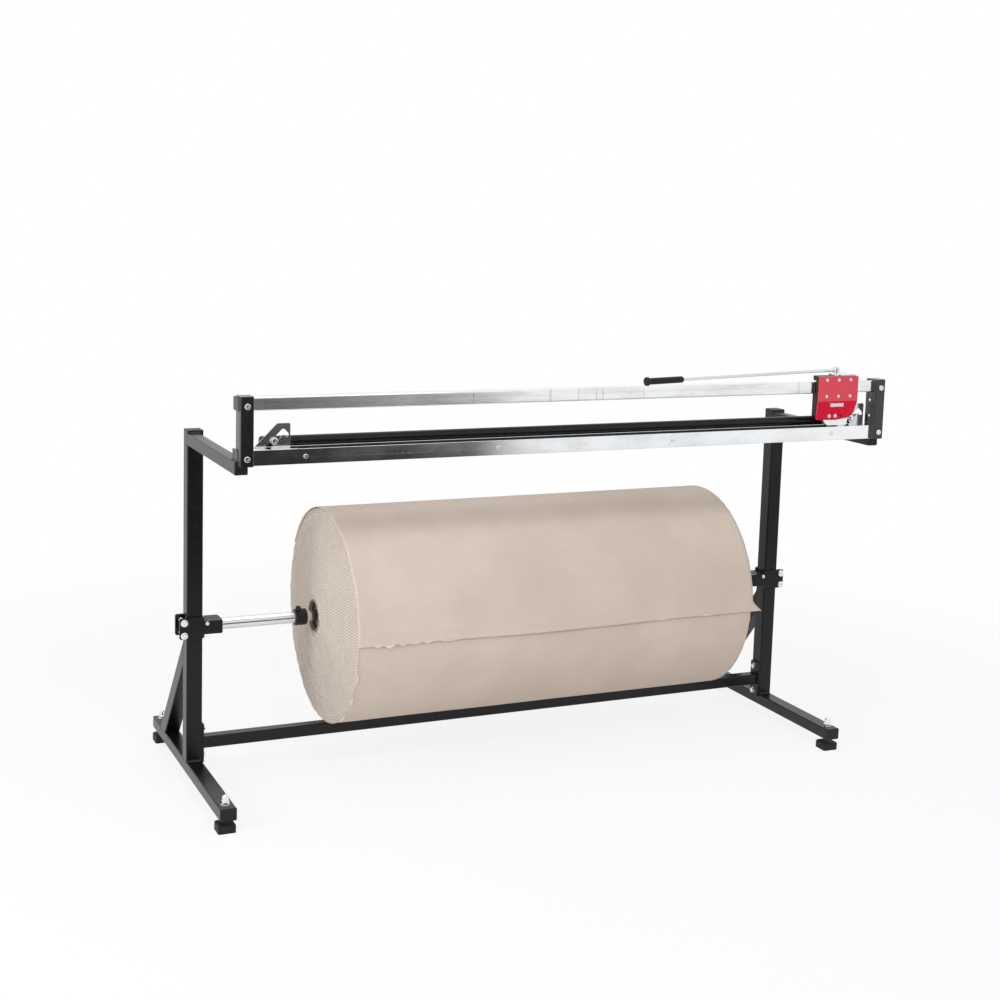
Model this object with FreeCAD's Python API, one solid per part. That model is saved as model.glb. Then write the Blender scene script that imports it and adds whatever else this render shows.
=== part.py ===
import FreeCAD, Part
import math
import os

V = FreeCAD.Vector
X_AXIS = V(1, 0, 0)
Y_AXIS = V(0, 1, 0)
Z_AXIS = V(0, 0, 1)

# All sizes are in millimetres. +Z is up, +X runs along the roll to the right, +Y points to the back.
# The sizes below are written with y = 0 at the front face of the posts. On export everything moves
# by ORIGIN_SHIFT_Y, which puts the origin on the floor in the middle of the whole footprint.
ORIGIN_SHIFT_Y = 99.79

# Side frames
HALF_WIDTH = 865.0
POST = 40.0
WALL = 2.0
TUBE_CORNER = 3.0
CAP = 3.0
FOOT_BOTTOM = 32.0
FOOT_HEIGHT = 30.0
FOOT_TOP = FOOT_BOTTOM + FOOT_HEIGHT
FOOT_FRONT = -326.0
FOOT_BACK = 374.0
ARM = 30.0
ARM_TOP = 890.0
POST_TOP = ARM_TOP + 7.0
BRACE_FOOT_Y = 286.0
BEAD = 4.0
POST_INNER = HALF_WIDTH - POST

# Lower crossbar
BAR_TUBE = 30.0
BAR_CENTRE_Y = 21.0
BAR_CENTRE_Z = 106.0
PLATE_THICK = 5.0
PLATE_HEIGHT = 100.0
BAR_BOLT_DZ = 36.0

# Feet
PAD = 43.0
PAD_HEIGHT = 20.0
FOOT_STUDS_Y = (FOOT_FRONT + 27.0, FOOT_BACK - 25.0)
STUD_X = HALF_WIDTH - 19.0
STUD_R = 5.0
STUD_SEAT = 8.0

# Roll, shaft and clamps
ROLL_R = 275.0
ROLL_OVER_BAR = 8.5
SHAFT_Y = POST / 2
SHAFT_Z = BAR_CENTRE_Z + BAR_TUBE / 2 + ROLL_OVER_BAR + ROLL_R
SHAFT_R = 15.0
SHAFT_HALF = POST_INNER - 20.0
FIT = 0.05
CLAMP_PLATE = 6.0
CLAMP_Z = (SHAFT_Z - 26.5, SHAFT_Z + 26.5)
CLAMP_X = (POST_INNER - 3.0, HALF_WIDTH + 19.0)
JAW_Z = (SHAFT_Z - 17.0, SHAFT_Z + 17.0)
JAW_X = (POST_INNER - 49.0, POST_INNER - 0.3)
JAW_BOLT_X = SHAFT_HALF + 10.0
JAW_BOLT_Z = SHAFT_Z + 10.5
CLAMP_BOLT_X = HALF_WIDTH + 8.0
CLAMP_BOLT_DZ = 16.0
BRACE_POST_Z = CLAMP_Z[0] - 16.0
CORE_IN = 38.0
CORE_OUT = 43.0
ROLL_WIDTH = 1116.0
ROLL_LEFT = -507.0
CORE_SLIP = -25.0
ROLL_RIM_X = (ROLL_LEFT, ROLL_LEFT + ROLL_WIDTH)
ROLL_CORE_X = (ROLL_LEFT + CORE_SLIP, ROLL_LEFT + ROLL_WIDTH + CORE_SLIP)
LAP = 2.7
HUB = 40.0
COLLAR_R = 21.0
COLLAR_LENGTH = 31.0
COLLAR_GAP = 20.5
KNOB_R = 7.0
LEFT_COLLAR_X = ROLL_CORE_X[0] - COLLAR_GAP - COLLAR_LENGTH
RIGHT_COLLAR_X = ROLL_CORE_X[1] + 20.0

# Cutter. CUTTER_Y is the front of the bar that the paper is cut against.
CUTTER_Y = -432.0
PRESS_R = 12.0
PRESS_Y = CUTTER_Y + 40.0
PRESS_FRONT = PRESS_Y - PRESS_R
CUT_BAR_Y = (CUTTER_Y, CUTTER_Y + 5.0)
CUT_BAR_Z = (ARM_TOP - 10.0, ARM_TOP + 25.0)
LOW_RAIL_Y = (CUT_BAR_Y[1], CUT_BAR_Y[1] + 40.0)
LOW_RAIL_Z = (ARM_TOP, ARM_TOP + 25.0)
TOP_RAIL_Y = (CUTTER_Y, CUTTER_Y + 40.0)
TOP_RAIL_Z = (ARM_TOP + 111.5, ARM_TOP + 141.5)
ARM_FRONT = CUT_BAR_Y[1] + 0.3
RAIL_END = HALF_WIDTH - 8.0
BRACKET_X = (RAIL_END - 30.0, RAIL_END)
BRACKET_FRONT = CUTTER_Y - 11.0
BRACKET_BACK = PRESS_FRONT - 1.0
BRACKET_SCREW_X = RAIL_END - 15.0
BRACKET_SCREW_Z = (LOW_RAIL_Z[0] + 7.5, TOP_RAIL_Z[0] + 11.5)
SIDE_SCREW_Y = CUTTER_Y + 8.0
SIDE_SCREWS_Z = (LOW_RAIL_Z[1] + 25.0, LOW_RAIL_Z[1] + 65.0)
STRIP_X = (-HALF_WIDTH + 143.0, HALF_WIDTH - 139.0)
STRIP_Y = (LOW_RAIL_Y[0] + 0.5, LOW_RAIL_Y[0] + 15.5)
STRIP_TOP = LOW_RAIL_Z[1] + 1.5
BAR_SCREW_END = HALF_WIDTH - 160.0
BAR_SCREWS_X = (-BAR_SCREW_END, -BAR_SCREW_END / 3, BAR_SCREW_END / 3, BAR_SCREW_END)

# Press bar and hook plates
PRESS_Z = LOW_RAIL_Z[1] + PRESS_R + 0.5
PRESS_X = (-HALF_WIDTH + 66.0, HALF_WIDTH - 53.0)
HOOK_Y = (CUTTER_Y + 24.0, CUTTER_Y + 26.0)
HOOK_RIGHT_SHIFT = 2 * HALF_WIDTH - 177.5
HOOK_BOLT_X = -HALF_WIDTH + 94.0
HOOK_BOLT_Z = LOW_RAIL_Z[1] + 15.5
HOOK_BOLT_R = 5.0
SLOT_HALF = 5.3

# Carriage, drawn at its rest place at the right end
CAR_WIDTH = 121.0
CAR_X = (HALF_WIDTH - 98.0 - CAR_WIDTH, HALF_WIDTH - 98.0)
BLOCK_X = (CAR_X[0] + 9.0, CAR_X[1] - 7.0)
CAR_FACE = CUTTER_Y - 14.0
CAR_BACK = CUTTER_Y - 1.3
BLOCK_BACK = CUTTER_Y + 21.0
RAIL_GAP = 2.5
CAR_TOP = TOP_RAIL_Z[1] + 14.5
CAR_LOW = LOW_RAIL_Z[1] + 21.0
FOLD_Z = TOP_RAIL_Z[0] - 18.5
LEAN = 6.5
SHEET = 2.0
ROLLER_R = 5.5
ROLLER_GAP = 0.3
AXLE_R = 2.0
ROLLERS_X = (CAR_X[0] + 24.0, CAR_X[0] + 96.0)
MID_SCREW_X = CAR_X[0] + 60.0
WHEEL_X = CAR_X[0] + 56.5
WHEEL_R = 28.0
WHEEL_Y = (CUTTER_Y + 12.0, CUTTER_Y + 14.0)
WHEEL_Z = STRIP_TOP + 0.3 + WHEEL_R
WHEEL_AXLE_R = 3.0
GUARD_X = (CAR_X[0] + 30.0, CAR_X[0] + 104.0)
GUARD_Y = (CAR_BACK, CAR_BACK + 2.0)
GUARD_Z = (LOW_RAIL_Z[1] + 4.0, LOW_RAIL_Z[1] + 60.0)
GUARD_SCREW_X = CAR_X[0] + 38.0
KEEPER_X = (CAR_X[0] + 71.0, CAR_X[1] - 2.0)
LEVER_X = CAR_X[0] + 60.0
LEVER_Y = CUTTER_Y - 1.0
LEVER_Z = CAR_TOP + 15.0
LEVER_TURN = 11.7
POST_DEPTH = 6.0
LEVER_EYE_R = 10.0
LEVER_ROD_R = 3.7
LEVER_ROD = 530.0
GRIP = 115.0

# Where tools start, clear of everything
CLEAR = 20.0
OUT_Y = CUTTER_Y - CLEAR


def box(x0, x1, y0, y1, z0, z1):
    """Box between two corners."""
    return Part.makeBox(x1 - x0, y1 - y0, z1 - z0, V(x0, y0, z0))


def rod(centre, axis, radius, length):
    """Round bar that starts at centre and runs along axis."""
    return Part.makeCylinder(radius, length, centre, axis)


def prism(points, along, length):
    """Flat outline of vectors, pulled out along a direction."""
    wire = Part.makePolygon(list(points) + [points[0]])
    return Part.Face(wire).extrude(along * length)


def long_edges(shape, axis):
    """The straight edges that run along an axis."""
    found = []
    for edge in shape.Edges:
        start, end = edge.Vertexes[0].Point, edge.Vertexes[-1].Point
        line = end - start
        if line.Length > 1 and abs(abs(line.normalize().dot(axis)) - 1) < 1e-6:
            found.append(edge)
    return found


def round_edges(shape, radius):
    """The full circles of one radius."""
    around = 2 * math.pi * radius
    return [e for e in shape.Edges if abs(e.Length - around) < 0.01 * around]


def rounded_box(x0, x1, y0, y1, z0, z1, axis, radius):
    """Box with the edges along one axis rounded."""
    body = box(x0, x1, y0, y1, z0, z1)
    return body.makeFillet(radius, long_edges(body, axis))


def tube(x0, x1, y0, y1, z0, z1, axis, wall=WALL):
    """Square or flat tube with rounded outer corners, open at both ends along axis."""
    outer = rounded_box(x0, x1, y0, y1, z0, z1, axis, TUBE_CORNER)
    grow = [wall, wall, wall]
    for index, part in enumerate((axis.x, axis.y, axis.z)):
        if abs(part) > 0.5:
            grow[index] = -1.0
    inner = box(x0 + grow[0], x1 - grow[0], y0 + grow[1], y1 - grow[1], z0 + grow[2], z1 - grow[2])
    return outer.cut(inner)


def hexagon(centre, axis, across, height):
    """Hexagonal nut or head."""
    radius = across / math.sqrt(3.0)
    side = V(0, 0, 1) if abs(axis.z) < 0.5 else V(1, 0, 0)
    other = axis.cross(side)
    corners = []
    for k in range(6):
        angle = math.radians(60 * k + 30)
        corners.append(centre + side * (radius * math.cos(angle)) + other * (radius * math.sin(angle)))
    blank = prism(corners, axis, height)
    straight = Part.makeCylinder(radius * 1.02, height * 0.7, centre, axis)
    crown = Part.makeCone(radius * 1.02, radius * 0.93, height * 0.3, centre + axis * (height * 0.7), axis)
    return blank.common(straight.fuse(crown))


def round_head(centre, axis, radius, height, socket):
    """Domed screw head with a hexagon socket. centre is on the seat, axis points out of the work."""
    head = Part.makeCylinder(radius, height, centre, axis)
    rim = [edge for edge in head.Edges if (edge.CenterOfMass - centre).dot(axis) > height * 0.9]
    head = head.makeFillet(height * 0.45, rim)
    return head.cut(hexagon(centre + axis * (height * 0.45), axis, socket, height))


def ring(centre, axis, outer, inner, length):
    """Round ring or bush."""
    return rod(centre, axis, outer, length).cut(rod(centre - axis, axis, inner, length + 2))


def group(*solids):
    """Group of separate solids that share one name."""
    return Part.makeCompound(list(solids))


def merge(shapes):
    """Joins touching shapes into one solid."""
    body = shapes[0]
    for other in shapes[1:]:
        body = body.fuse(other)
    return body.removeSplitter()


def save(name, shape):
    """Moves a shape to the shared origin and writes it."""
    moved = shape.copy()
    moved.translate(V(0, ORIGIN_SHIFT_Y, 0))
    moved.exportStep("parts/" + name + ".step")
    size = moved.BoundBox
    print(name, len(moved.Solids), round(size.XLength, 1), round(size.YLength, 1), round(size.ZLength, 1))
    ALL_SHAPES.append(moved)


def side_x(side, inner, outer):
    """x range on the left (-1) or the right (+1) from distances off the middle."""
    return (-outer, -inner) if side < 0 else (inner, outer)


def post(side):
    x0, x1 = side_x(side, HALF_WIDTH - POST, HALF_WIDTH)
    body = tube(x0, x1, 0, POST, FOOT_TOP, POST_TOP - CAP, Z_AXIS)
    inner_wall = side * POST_INNER
    for dz in (-BAR_BOLT_DZ, BAR_BOLT_DZ):
        start = V(inner_wall - side * 2, BAR_CENTRE_Y, BAR_CENTRE_Z + dz)
        body = body.cut(rod(start, X_AXIS * side, 4.3, WALL + 6))
    bead = prism([V(x0 + 2, 0, FOOT_TOP), V(x0 + 2, -BEAD, FOOT_TOP), V(x0 + 2, 0, FOOT_TOP + BEAD)],
                 X_AXIS, POST - 4)
    return merge([body, bead])


def foot_tube(side):
    x0, x1 = side_x(side, HALF_WIDTH - POST, HALF_WIDTH)
    body = tube(x0, x1, FOOT_FRONT + CAP, FOOT_BACK - CAP, FOOT_BOTTOM, FOOT_TOP, Y_AXIS)
    for y in FOOT_STUDS_Y:
        body = body.cut(rod(V(side * STUD_X, y, 0), Z_AXIS, STUD_R + 0.3, FOOT_TOP + CLEAR))
    return body


def brace(side):
    x0, x1 = side_x(side, HALF_WIDTH - POST, HALF_WIDTH)
    rise = BRACE_POST_Z - FOOT_TOP
    run = BRACE_FOOT_Y - POST
    length = math.hypot(rise, run)
    along_foot = POST * length / rise
    down_post = POST * length / run
    outline = [V(x0, BRACE_FOOT_Y, FOOT_TOP), V(x0, BRACE_FOOT_Y - along_foot, FOOT_TOP),
               V(x0, POST, BRACE_POST_Z - down_post), V(x0, POST, BRACE_POST_Z)]
    outer = prism(outline, X_AXIS, POST)
    slant = V(0, run, -rise).normalize()
    outer = outer.makeFillet(TUBE_CORNER, [e for e in outer.Edges if e.Length > length * 0.6])
    step = V(0, slant.z, -slant.y)
    top = V(x0 + WALL, POST, BRACE_POST_Z) - slant * 60 - step * (-WALL)
    low_side = top + step * (POST - 2 * WALL)
    far = slant * (length + 160)
    hollow = prism([top, low_side, low_side + far, top + far], X_AXIS, POST - 2 * WALL)
    body = outer.cut(hollow)
    bead = prism([V(x0 + 2, POST, BRACE_POST_Z - 0.5), V(x0 + 2, POST + BEAD, BRACE_POST_Z - 0.5 - BEAD),
                  V(x0 + 2, POST, BRACE_POST_Z + BEAD)], X_AXIS, POST - 4)
    return merge([body, bead])


def arm(side):
    x0 = -HALF_WIDTH if side < 0 else HALF_WIDTH - POST
    body = tube(x0, x0 + ARM, ARM_FRONT + CAP, 0, ARM_TOP - ARM, ARM_TOP, Y_AXIS)
    bead_outer = box(x0 + 0.2, x0 + ARM + BEAD, -BEAD, 0, ARM_TOP - ARM - BEAD, ARM_TOP + BEAD)
    edges = [e for e in bead_outer.Edges if abs(e.CenterOfMass.y + BEAD) < 0.01]
    bead_outer = bead_outer.makeChamfer(BEAD * 0.75, edges)
    bead = bead_outer.cut(box(x0 - 1, x0 + ARM, -CLEAR, 1, ARM_TOP - ARM, ARM_TOP))
    corner = box(x0 - 1, x0 + 3.5, -CLEAR, 1, ARM_TOP - ARM - CLEAR, ARM_TOP + CLEAR)
    return merge([body, bead.cut(corner)])


def post_caps():
    caps = []
    for side in (-1, 1):
        x0, x1 = side_x(side, HALF_WIDTH - POST, HALF_WIDTH)
        lid = rounded_box(x0, x1, 0, POST, POST_TOP - CAP, POST_TOP, Z_AXIS, TUBE_CORNER)
        lid = lid.makeChamfer(1.2, [e for e in lid.Edges if e.CenterOfMass.z > POST_TOP - 0.01])
        plug = box(x0 + WALL, x1 - WALL, WALL, POST - WALL, POST_TOP - CAP - 14, POST_TOP - CAP)
        hollow = box(x0 + 4, x1 - 4, 4, POST - 4, POST_TOP - CAP - 15, POST_TOP - CAP)
        caps.append(merge([lid, plug.cut(hollow)]))
    return group(*caps)


def flat_caps(x_ranges, z0, z1, fronts, backs):
    """End caps for tubes that run front to back."""
    caps = []
    for x0, x1 in x_ranges:
        ends = [(y, 1) for y in fronts] + [(y, -1) for y in backs]
        for y, inward in ends:
            y0, y1 = sorted((y, y + inward * CAP))
            lid = rounded_box(x0, x1, y0, y1, z0, z1, Y_AXIS, TUBE_CORNER)
            lid = lid.makeChamfer(1.0, [e for e in lid.Edges if abs(e.CenterOfMass.y - y) < 0.01])
            p0, p1 = sorted((y + inward * CAP, y + inward * (CAP + 12)))
            plug = box(x0 + WALL, x1 - WALL, p0, p1, z0 + WALL, z1 - WALL)
            hollow = box(x0 + 4, x1 - 4, p0 - 1, p1 + 1, z0 + 4, z1 - 4)
            caps.append(merge([lid, plug.cut(hollow)]))
    return group(*caps)


def foot_caps():
    ranges = [side_x(side, HALF_WIDTH - POST, HALF_WIDTH) for side in (-1, 1)]
    return flat_caps(ranges, FOOT_BOTTOM, FOOT_TOP, [FOOT_FRONT], [FOOT_BACK])


def arm_caps():
    ranges = [(-HALF_WIDTH, -HALF_WIDTH + ARM), (HALF_WIDTH - POST, HALF_WIDTH - POST + ARM)]
    return flat_caps(ranges, ARM_TOP - ARM, ARM_TOP, [ARM_FRONT], [])


def crossbar():
    inner = POST_INNER
    half = BAR_TUBE / 2
    pieces = [tube(-inner + PLATE_THICK, inner - PLATE_THICK, BAR_CENTRE_Y - half, BAR_CENTRE_Y + half,
                   BAR_CENTRE_Z - half, BAR_CENTRE_Z + half, X_AXIS)]
    for side in (-1, 1):
        x0, x1 = side_x(side, inner - PLATE_THICK, inner)
        plate = rounded_box(x0, x1, 0.5, POST - 0.5, BAR_CENTRE_Z - PLATE_HEIGHT / 2,
                            BAR_CENTRE_Z + PLATE_HEIGHT / 2, X_AXIS, 4)
        for dz in (-BAR_BOLT_DZ, BAR_BOLT_DZ):
            plate = plate.cut(rod(V(x0 - 1, BAR_CENTRE_Y, BAR_CENTRE_Z + dz), X_AXIS, 4.3, 10))
        pieces.append(plate)
    return merge(pieces)


def hex_bolt(seat, out, grip_length, size, nut_gap=0.0):
    """Hexagon bolt with washers and nut through a grip. seat is where the head's washer sits."""
    across = size * 1.6
    washer = ring(seat, out, size, size / 2 + 0.2, 1.5)
    head = hexagon(seat + out * 1.5, out, across, size * 0.65)
    shank = rod(seat + out * 1.5, out * -1, size / 2, 1.5 + grip_length + size * 0.95)
    bolt = merge([head, shank])
    nut = hexagon(seat - out * (grip_length + nut_gap), out * -1, across, size * 0.8)
    nut = nut.cut(rod(seat - out * grip_length + out, out * -1, size / 2, size * 1.5))
    return [washer, bolt, nut]


def crossbar_bolts():
    solids = []
    for side in (-1, 1):
        for dz in (-BAR_BOLT_DZ, BAR_BOLT_DZ):
            seat = V(side * (POST_INNER - PLATE_THICK), BAR_CENTRE_Y, BAR_CENTRE_Z + dz)
            solids += hex_bolt(seat, X_AXIS * -side, PLATE_THICK + WALL, 8.0)
    return group(*solids)


def foot_pads():
    pads = []
    for side in (-1, 1):
        for y in FOOT_STUDS_Y:
            half = PAD / 2
            x = side * STUD_X
            pad = rounded_box(x - half, x + half, y - half, y + half, 0, PAD_HEIGHT, Z_AXIS, 5)
            top = [e for e in pad.Edges if e.CenterOfMass.z > PAD_HEIGHT - 0.01]
            pad = pad.makeChamfer(2.5, top)
            pads.append(pad.cut(rod(V(x, y, STUD_SEAT), Z_AXIS, STUD_R, PAD_HEIGHT)))
    return group(*pads)


def foot_studs():
    studs = []
    for side in (-1, 1):
        for y in FOOT_STUDS_Y:
            studs.append(rod(V(side * STUD_X, y, STUD_SEAT), Z_AXIS, STUD_R, FOOT_TOP + 15 - STUD_SEAT))
    return group(*studs)


def foot_nuts():
    solids = []
    for side in (-1, 1):
        for y in FOOT_STUDS_Y:
            base = V(side * STUD_X, y, FOOT_TOP)
            solids.append(ring(base, Z_AXIS, 10.5, STUD_R + 0.3, 2))
            collar = hexagon(base + Z_AXIS * 2, Z_AXIS, 17, 9)
            dome = Part.makeCylinder(7.6, 8, base + Z_AXIS * 11, Z_AXIS)
            dome = dome.fuse(Part.makeSphere(7.6, base + Z_AXIS * 17.5, Z_AXIS, 0, 90, 360))
            nut = merge([collar, dome]).cut(rod(base, Z_AXIS, STUD_R, 15.2))
            solids.append(nut)
            lock = hexagon(V(side * STUD_X, y, FOOT_BOTTOM - 6), Z_AXIS, 17, 6)
            solids.append(lock.cut(rod(V(side * STUD_X, y, 0), Z_AXIS, STUD_R, FOOT_TOP)))
    return group(*solids)


def clamp_plate(side, y0):
    """Flat plate beside the post with a tongue that reaches in over the shaft jaws."""
    x0, x1 = side_x(side, CLAMP_X[0], CLAMP_X[1])
    main = rounded_box(x0, x1, y0, y0 + CLAMP_PLATE, CLAMP_Z[0], CLAMP_Z[1], Y_AXIS, 5)
    t0, t1 = side_x(side, JAW_X[0], CLAMP_X[0] + 8.0)
    tongue = rounded_box(t0, t1, y0, y0 + CLAMP_PLATE, JAW_Z[0], JAW_Z[1], Y_AXIS, 3)
    plate = merge([main, tongue])
    middle = (CLAMP_Z[0] + CLAMP_Z[1]) / 2
    for dz in (-CLAMP_BOLT_DZ, CLAMP_BOLT_DZ):
        plate = plate.cut(rod(V(side * CLAMP_BOLT_X, y0 - 1, middle + dz), Y_AXIS, 6.2, CLAMP_PLATE + 4))
    return plate.cut(rod(V(side * JAW_BOLT_X, y0 - 1, JAW_BOLT_Z), Y_AXIS, 3.2, CLAMP_PLATE + 4))


def shaft_jaws(side):
    x0, x1 = side_x(side, JAW_X[0], JAW_X[1])
    bore = rod(V(x0 - 1, SHAFT_Y, SHAFT_Z), X_AXIS, SHAFT_R, x1 - x0 + 2)
    screw = rod(V(side * JAW_BOLT_X, -CLEAR, JAW_BOLT_Z), Y_AXIS, 3.2, POST + 2 * CLEAR)
    halves = []
    for y0, y1 in ((0, SHAFT_Y - 0.6), (SHAFT_Y + 0.6, POST)):
        halves.append(box(x0, x1, y0, y1, JAW_Z[0], JAW_Z[1]).cut(bore).cut(screw))
    return group(*halves)


def clamp_bolts():
    solids = []
    middle = (CLAMP_Z[0] + CLAMP_Z[1]) / 2
    out = Y_AXIS * -1
    for side in (-1, 1):
        for dz in (-CLAMP_BOLT_DZ, CLAMP_BOLT_DZ):
            seat = V(side * CLAMP_BOLT_X, -CLAMP_PLATE, middle + dz)
            head = round_head(seat, out, 9.3, 7.5, 8.0)
            length = POST + 2 * CLAMP_PLATE + 11
            shank = rod(seat, Y_AXIS, 6.0, length)
            solids.append(merge([head, shank]))
            back = V(seat.x, POST + CLAMP_PLATE, seat.z)
            nut = hexagon(back, Y_AXIS, 19, 9.5)
            solids.append(nut.cut(rod(back - Y_AXIS, Y_AXIS, 6.0, 20)))
    return group(*solids)


def jaw_bolts():
    solids = []
    for side in (-1, 1):
        seat = V(side * JAW_BOLT_X, -CLAMP_PLATE, JAW_BOLT_Z)
        head = round_head(seat, Y_AXIS * -1, 5.0, 3.5, 4.0)
        shank = rod(seat, Y_AXIS, 3.0, POST + 2 * CLAMP_PLATE + 5)
        solids.append(merge([head, shank]))
        back = V(seat.x, POST + CLAMP_PLATE, seat.z)
        nut = hexagon(back, Y_AXIS, 10, 5)
        solids.append(nut.cut(rod(back - Y_AXIS, Y_AXIS, 3.0, 10)))
    return group(*solids)


def roll_shaft():
    return ring(V(-SHAFT_HALF, SHAFT_Y, SHAFT_Z), X_AXIS, SHAFT_R, SHAFT_R - 2.5, 2 * SHAFT_HALF)


def screw_direction():
    """Thumb screws point up and a little to the front."""
    angle = math.radians(20)
    return V(0, -math.sin(angle), math.cos(angle))


def collar(x0, screw_x):
    base = V(x0, SHAFT_Y, SHAFT_Z)
    body = rod(base, X_AXIS, COLLAR_R, COLLAR_LENGTH)
    body = body.makeChamfer(2.0, round_edges(body, COLLAR_R))
    body = body.cut(rod(base - X_AXIS, X_AXIS, SHAFT_R + FIT, COLLAR_LENGTH + 2))
    hole = rod(V(screw_x, SHAFT_Y, SHAFT_Z), screw_direction(), 3.0, 40)
    return body.cut(hole)


def collar_screw(screw_x):
    up = screw_direction()
    centre = V(screw_x, SHAFT_Y, SHAFT_Z)
    shank = rod(centre + up * (SHAFT_R + 0.3), up, 3.0, 10)
    knob = Part.makeCylinder(KNOB_R, 7.0, centre + up * (COLLAR_R + 2.5), up)
    knob = knob.makeChamfer(1.2, round_edges(knob, KNOB_R))
    for k in range(8):
        angle = math.radians(45 * k)
        side = X_AXIS * math.cos(angle) + up.cross(X_AXIS) * math.sin(angle)
        knob = knob.cut(rod(centre + side * (KNOB_R + 0.6) + up * COLLAR_R, up, 1.3, 12))
    return merge([shank, knob])


def revolved(points):
    """Closed outline of (x, radius) pairs turned about the shaft."""
    corners = [V(x, SHAFT_Y, SHAFT_Z + r) for x, r in points]
    face = Part.Face(Part.makePolygon(corners + [corners[0]]))
    return face.revolve(V(0, SHAFT_Y, SHAFT_Z), X_AXIS, 360)


def paper_roll():
    """Wound paper. The inner laps have slid a little to the left, so the ends are shallow cones."""
    return revolved([(ROLL_CORE_X[0], CORE_OUT), (ROLL_RIM_X[0], ROLL_R),
                     (ROLL_RIM_X[1], ROLL_R), (ROLL_CORE_X[1], CORE_OUT)])


def roll_core():
    return ring(V(ROLL_CORE_X[0], SHAFT_Y, SHAFT_Z), X_AXIS, CORE_OUT, CORE_IN,
                ROLL_CORE_X[1] - ROLL_CORE_X[0])


def core_hubs():
    hubs = []
    for x0 in (ROLL_CORE_X[0] + 8, ROLL_CORE_X[1] - 8 - HUB):
        base = V(x0, SHAFT_Y, SHAFT_Z)
        hub = ring(base, X_AXIS, CORE_IN, SHAFT_R + FIT, HUB)
        groove = ring(base - X_AXIS, X_AXIS, CORE_IN - 5, SHAFT_R + 5, 5)
        hubs.append(hub.cut(groove).cut(groove.translated(V(HUB - 3, 0, 0))))
    return group(*hubs)


def paper_lap():
    """Last lap of paper: it lies on the roll from behind the top to a loose edge at the front."""
    steps = 40
    start, end = math.radians(-4.0), math.radians(150.0)
    inner, outer = [], []
    for k in range(steps + 1):
        t = k / steps
        angle = start + (end - start) * t
        lift = 2.6 * max(0.0, 1 - t * 7.0) ** 2
        near = ROLL_R + 0.02 + lift
        for radius, points in ((near, inner), (near + LAP, outer)):
            points.append(V(0, SHAFT_Y - radius * math.cos(angle), SHAFT_Z + radius * math.sin(angle)))
    curve_in = Part.BSplineCurve()
    curve_in.interpolate(inner)
    curve_out = Part.BSplineCurve()
    curve_out.interpolate(outer)
    edges = [curve_in.toShape(), Part.makeLine(inner[-1], outer[-1]), curve_out.toShape(),
             Part.makeLine(outer[0], inner[0])]
    face = Part.Face(Part.Wire(Part.__sortEdges__(edges)))
    right = ROLL_RIM_X[1] + 32
    left = ROLL_RIM_X[0] - 4
    sheet = face.extrude(X_AXIS * (right - left))
    sheet.translate(V(left, 0, 0))
    far = 1.5 * ROLL_R
    edge = ROLL_RIM_X[1] + 3
    trim = prism([V(right + 1, -far, SHAFT_Z - 40), V(right, -far, SHAFT_Z - 19), V(edge, -far, SHAFT_Z + 30),
                  V(edge, -far, SHAFT_Z + far), V(right + 50, -far, SHAFT_Z + far)], Y_AXIS, 2 * far)
    return sheet.cut(trim)


def rail_hole_pair(body, z):
    for side in (-1, 1):
        body = body.cut(rod(V(side * BRACKET_SCREW_X, OUT_Y, z), Y_AXIS, 4.2, CLEAR + 10))
    return body


def top_rail():
    body = tube(-RAIL_END, RAIL_END, TOP_RAIL_Y[0], TOP_RAIL_Y[1], TOP_RAIL_Z[0], TOP_RAIL_Z[1], X_AXIS)
    return rail_hole_pair(body, BRACKET_SCREW_Z[1])


def bottom_rail():
    body = tube(-RAIL_END, RAIL_END, LOW_RAIL_Y[0], LOW_RAIL_Y[1], LOW_RAIL_Z[0], LOW_RAIL_Z[1], X_AXIS)
    body = rail_hole_pair(body, BRACKET_SCREW_Z[0])
    for x in BAR_SCREWS_X:
        body = body.cut(rod(V(x, OUT_Y, BRACKET_SCREW_Z[0]), Y_AXIS, 2.5, CLEAR + 8))
    return body


def cutting_bar():
    body = rounded_box(-RAIL_END, RAIL_END, CUT_BAR_Y[0], CUT_BAR_Y[1], CUT_BAR_Z[0], CUT_BAR_Z[1], X_AXIS, 0.8)
    body = rail_hole_pair(body, BRACKET_SCREW_Z[0])
    for x in BAR_SCREWS_X:
        body = body.cut(rod(V(x, OUT_Y, BRACKET_SCREW_Z[0]), Y_AXIS, 2.7, CLEAR + 8))
    return body


def cutting_bar_screws():
    solids = []
    for x in BAR_SCREWS_X:
        seat = V(x, CUT_BAR_Y[0], BRACKET_SCREW_Z[0])
        head = round_head(seat, Y_AXIS * -1, 5.0, 2.8, 3.0)
        solids.append(merge([head, rod(seat, Y_AXIS, 2.5, 14)]))
    return group(*solids)


def cutting_strip():
    return box(STRIP_X[0], STRIP_X[1], STRIP_Y[0], STRIP_Y[1], LOW_RAIL_Z[1], STRIP_TOP)


def rail_plugs():
    plugs = []
    for side in (-1, 1):
        for (y0, y1), (z0, z1) in ((TOP_RAIL_Y, TOP_RAIL_Z), (LOW_RAIL_Y, LOW_RAIL_Z)):
            x0, x1 = side_x(side, RAIL_END, RAIL_END + 2.5)
            lid = rounded_box(x0, x1, y0, y1, z0, z1, X_AXIS, TUBE_CORNER)
            p0, p1 = side_x(side, RAIL_END - 6, RAIL_END)
            plug = box(p0, p1, y0 + WALL, y1 - WALL, z0 + WALL, z1 - WALL)
            hollow = box(p0 - 1, p1 + 1, y0 + 4, y1 - 4, z0 + 4, z1 - 4)
            plugs.append(merge([lid, plug.cut(hollow)]))
    return group(*plugs)


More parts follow.
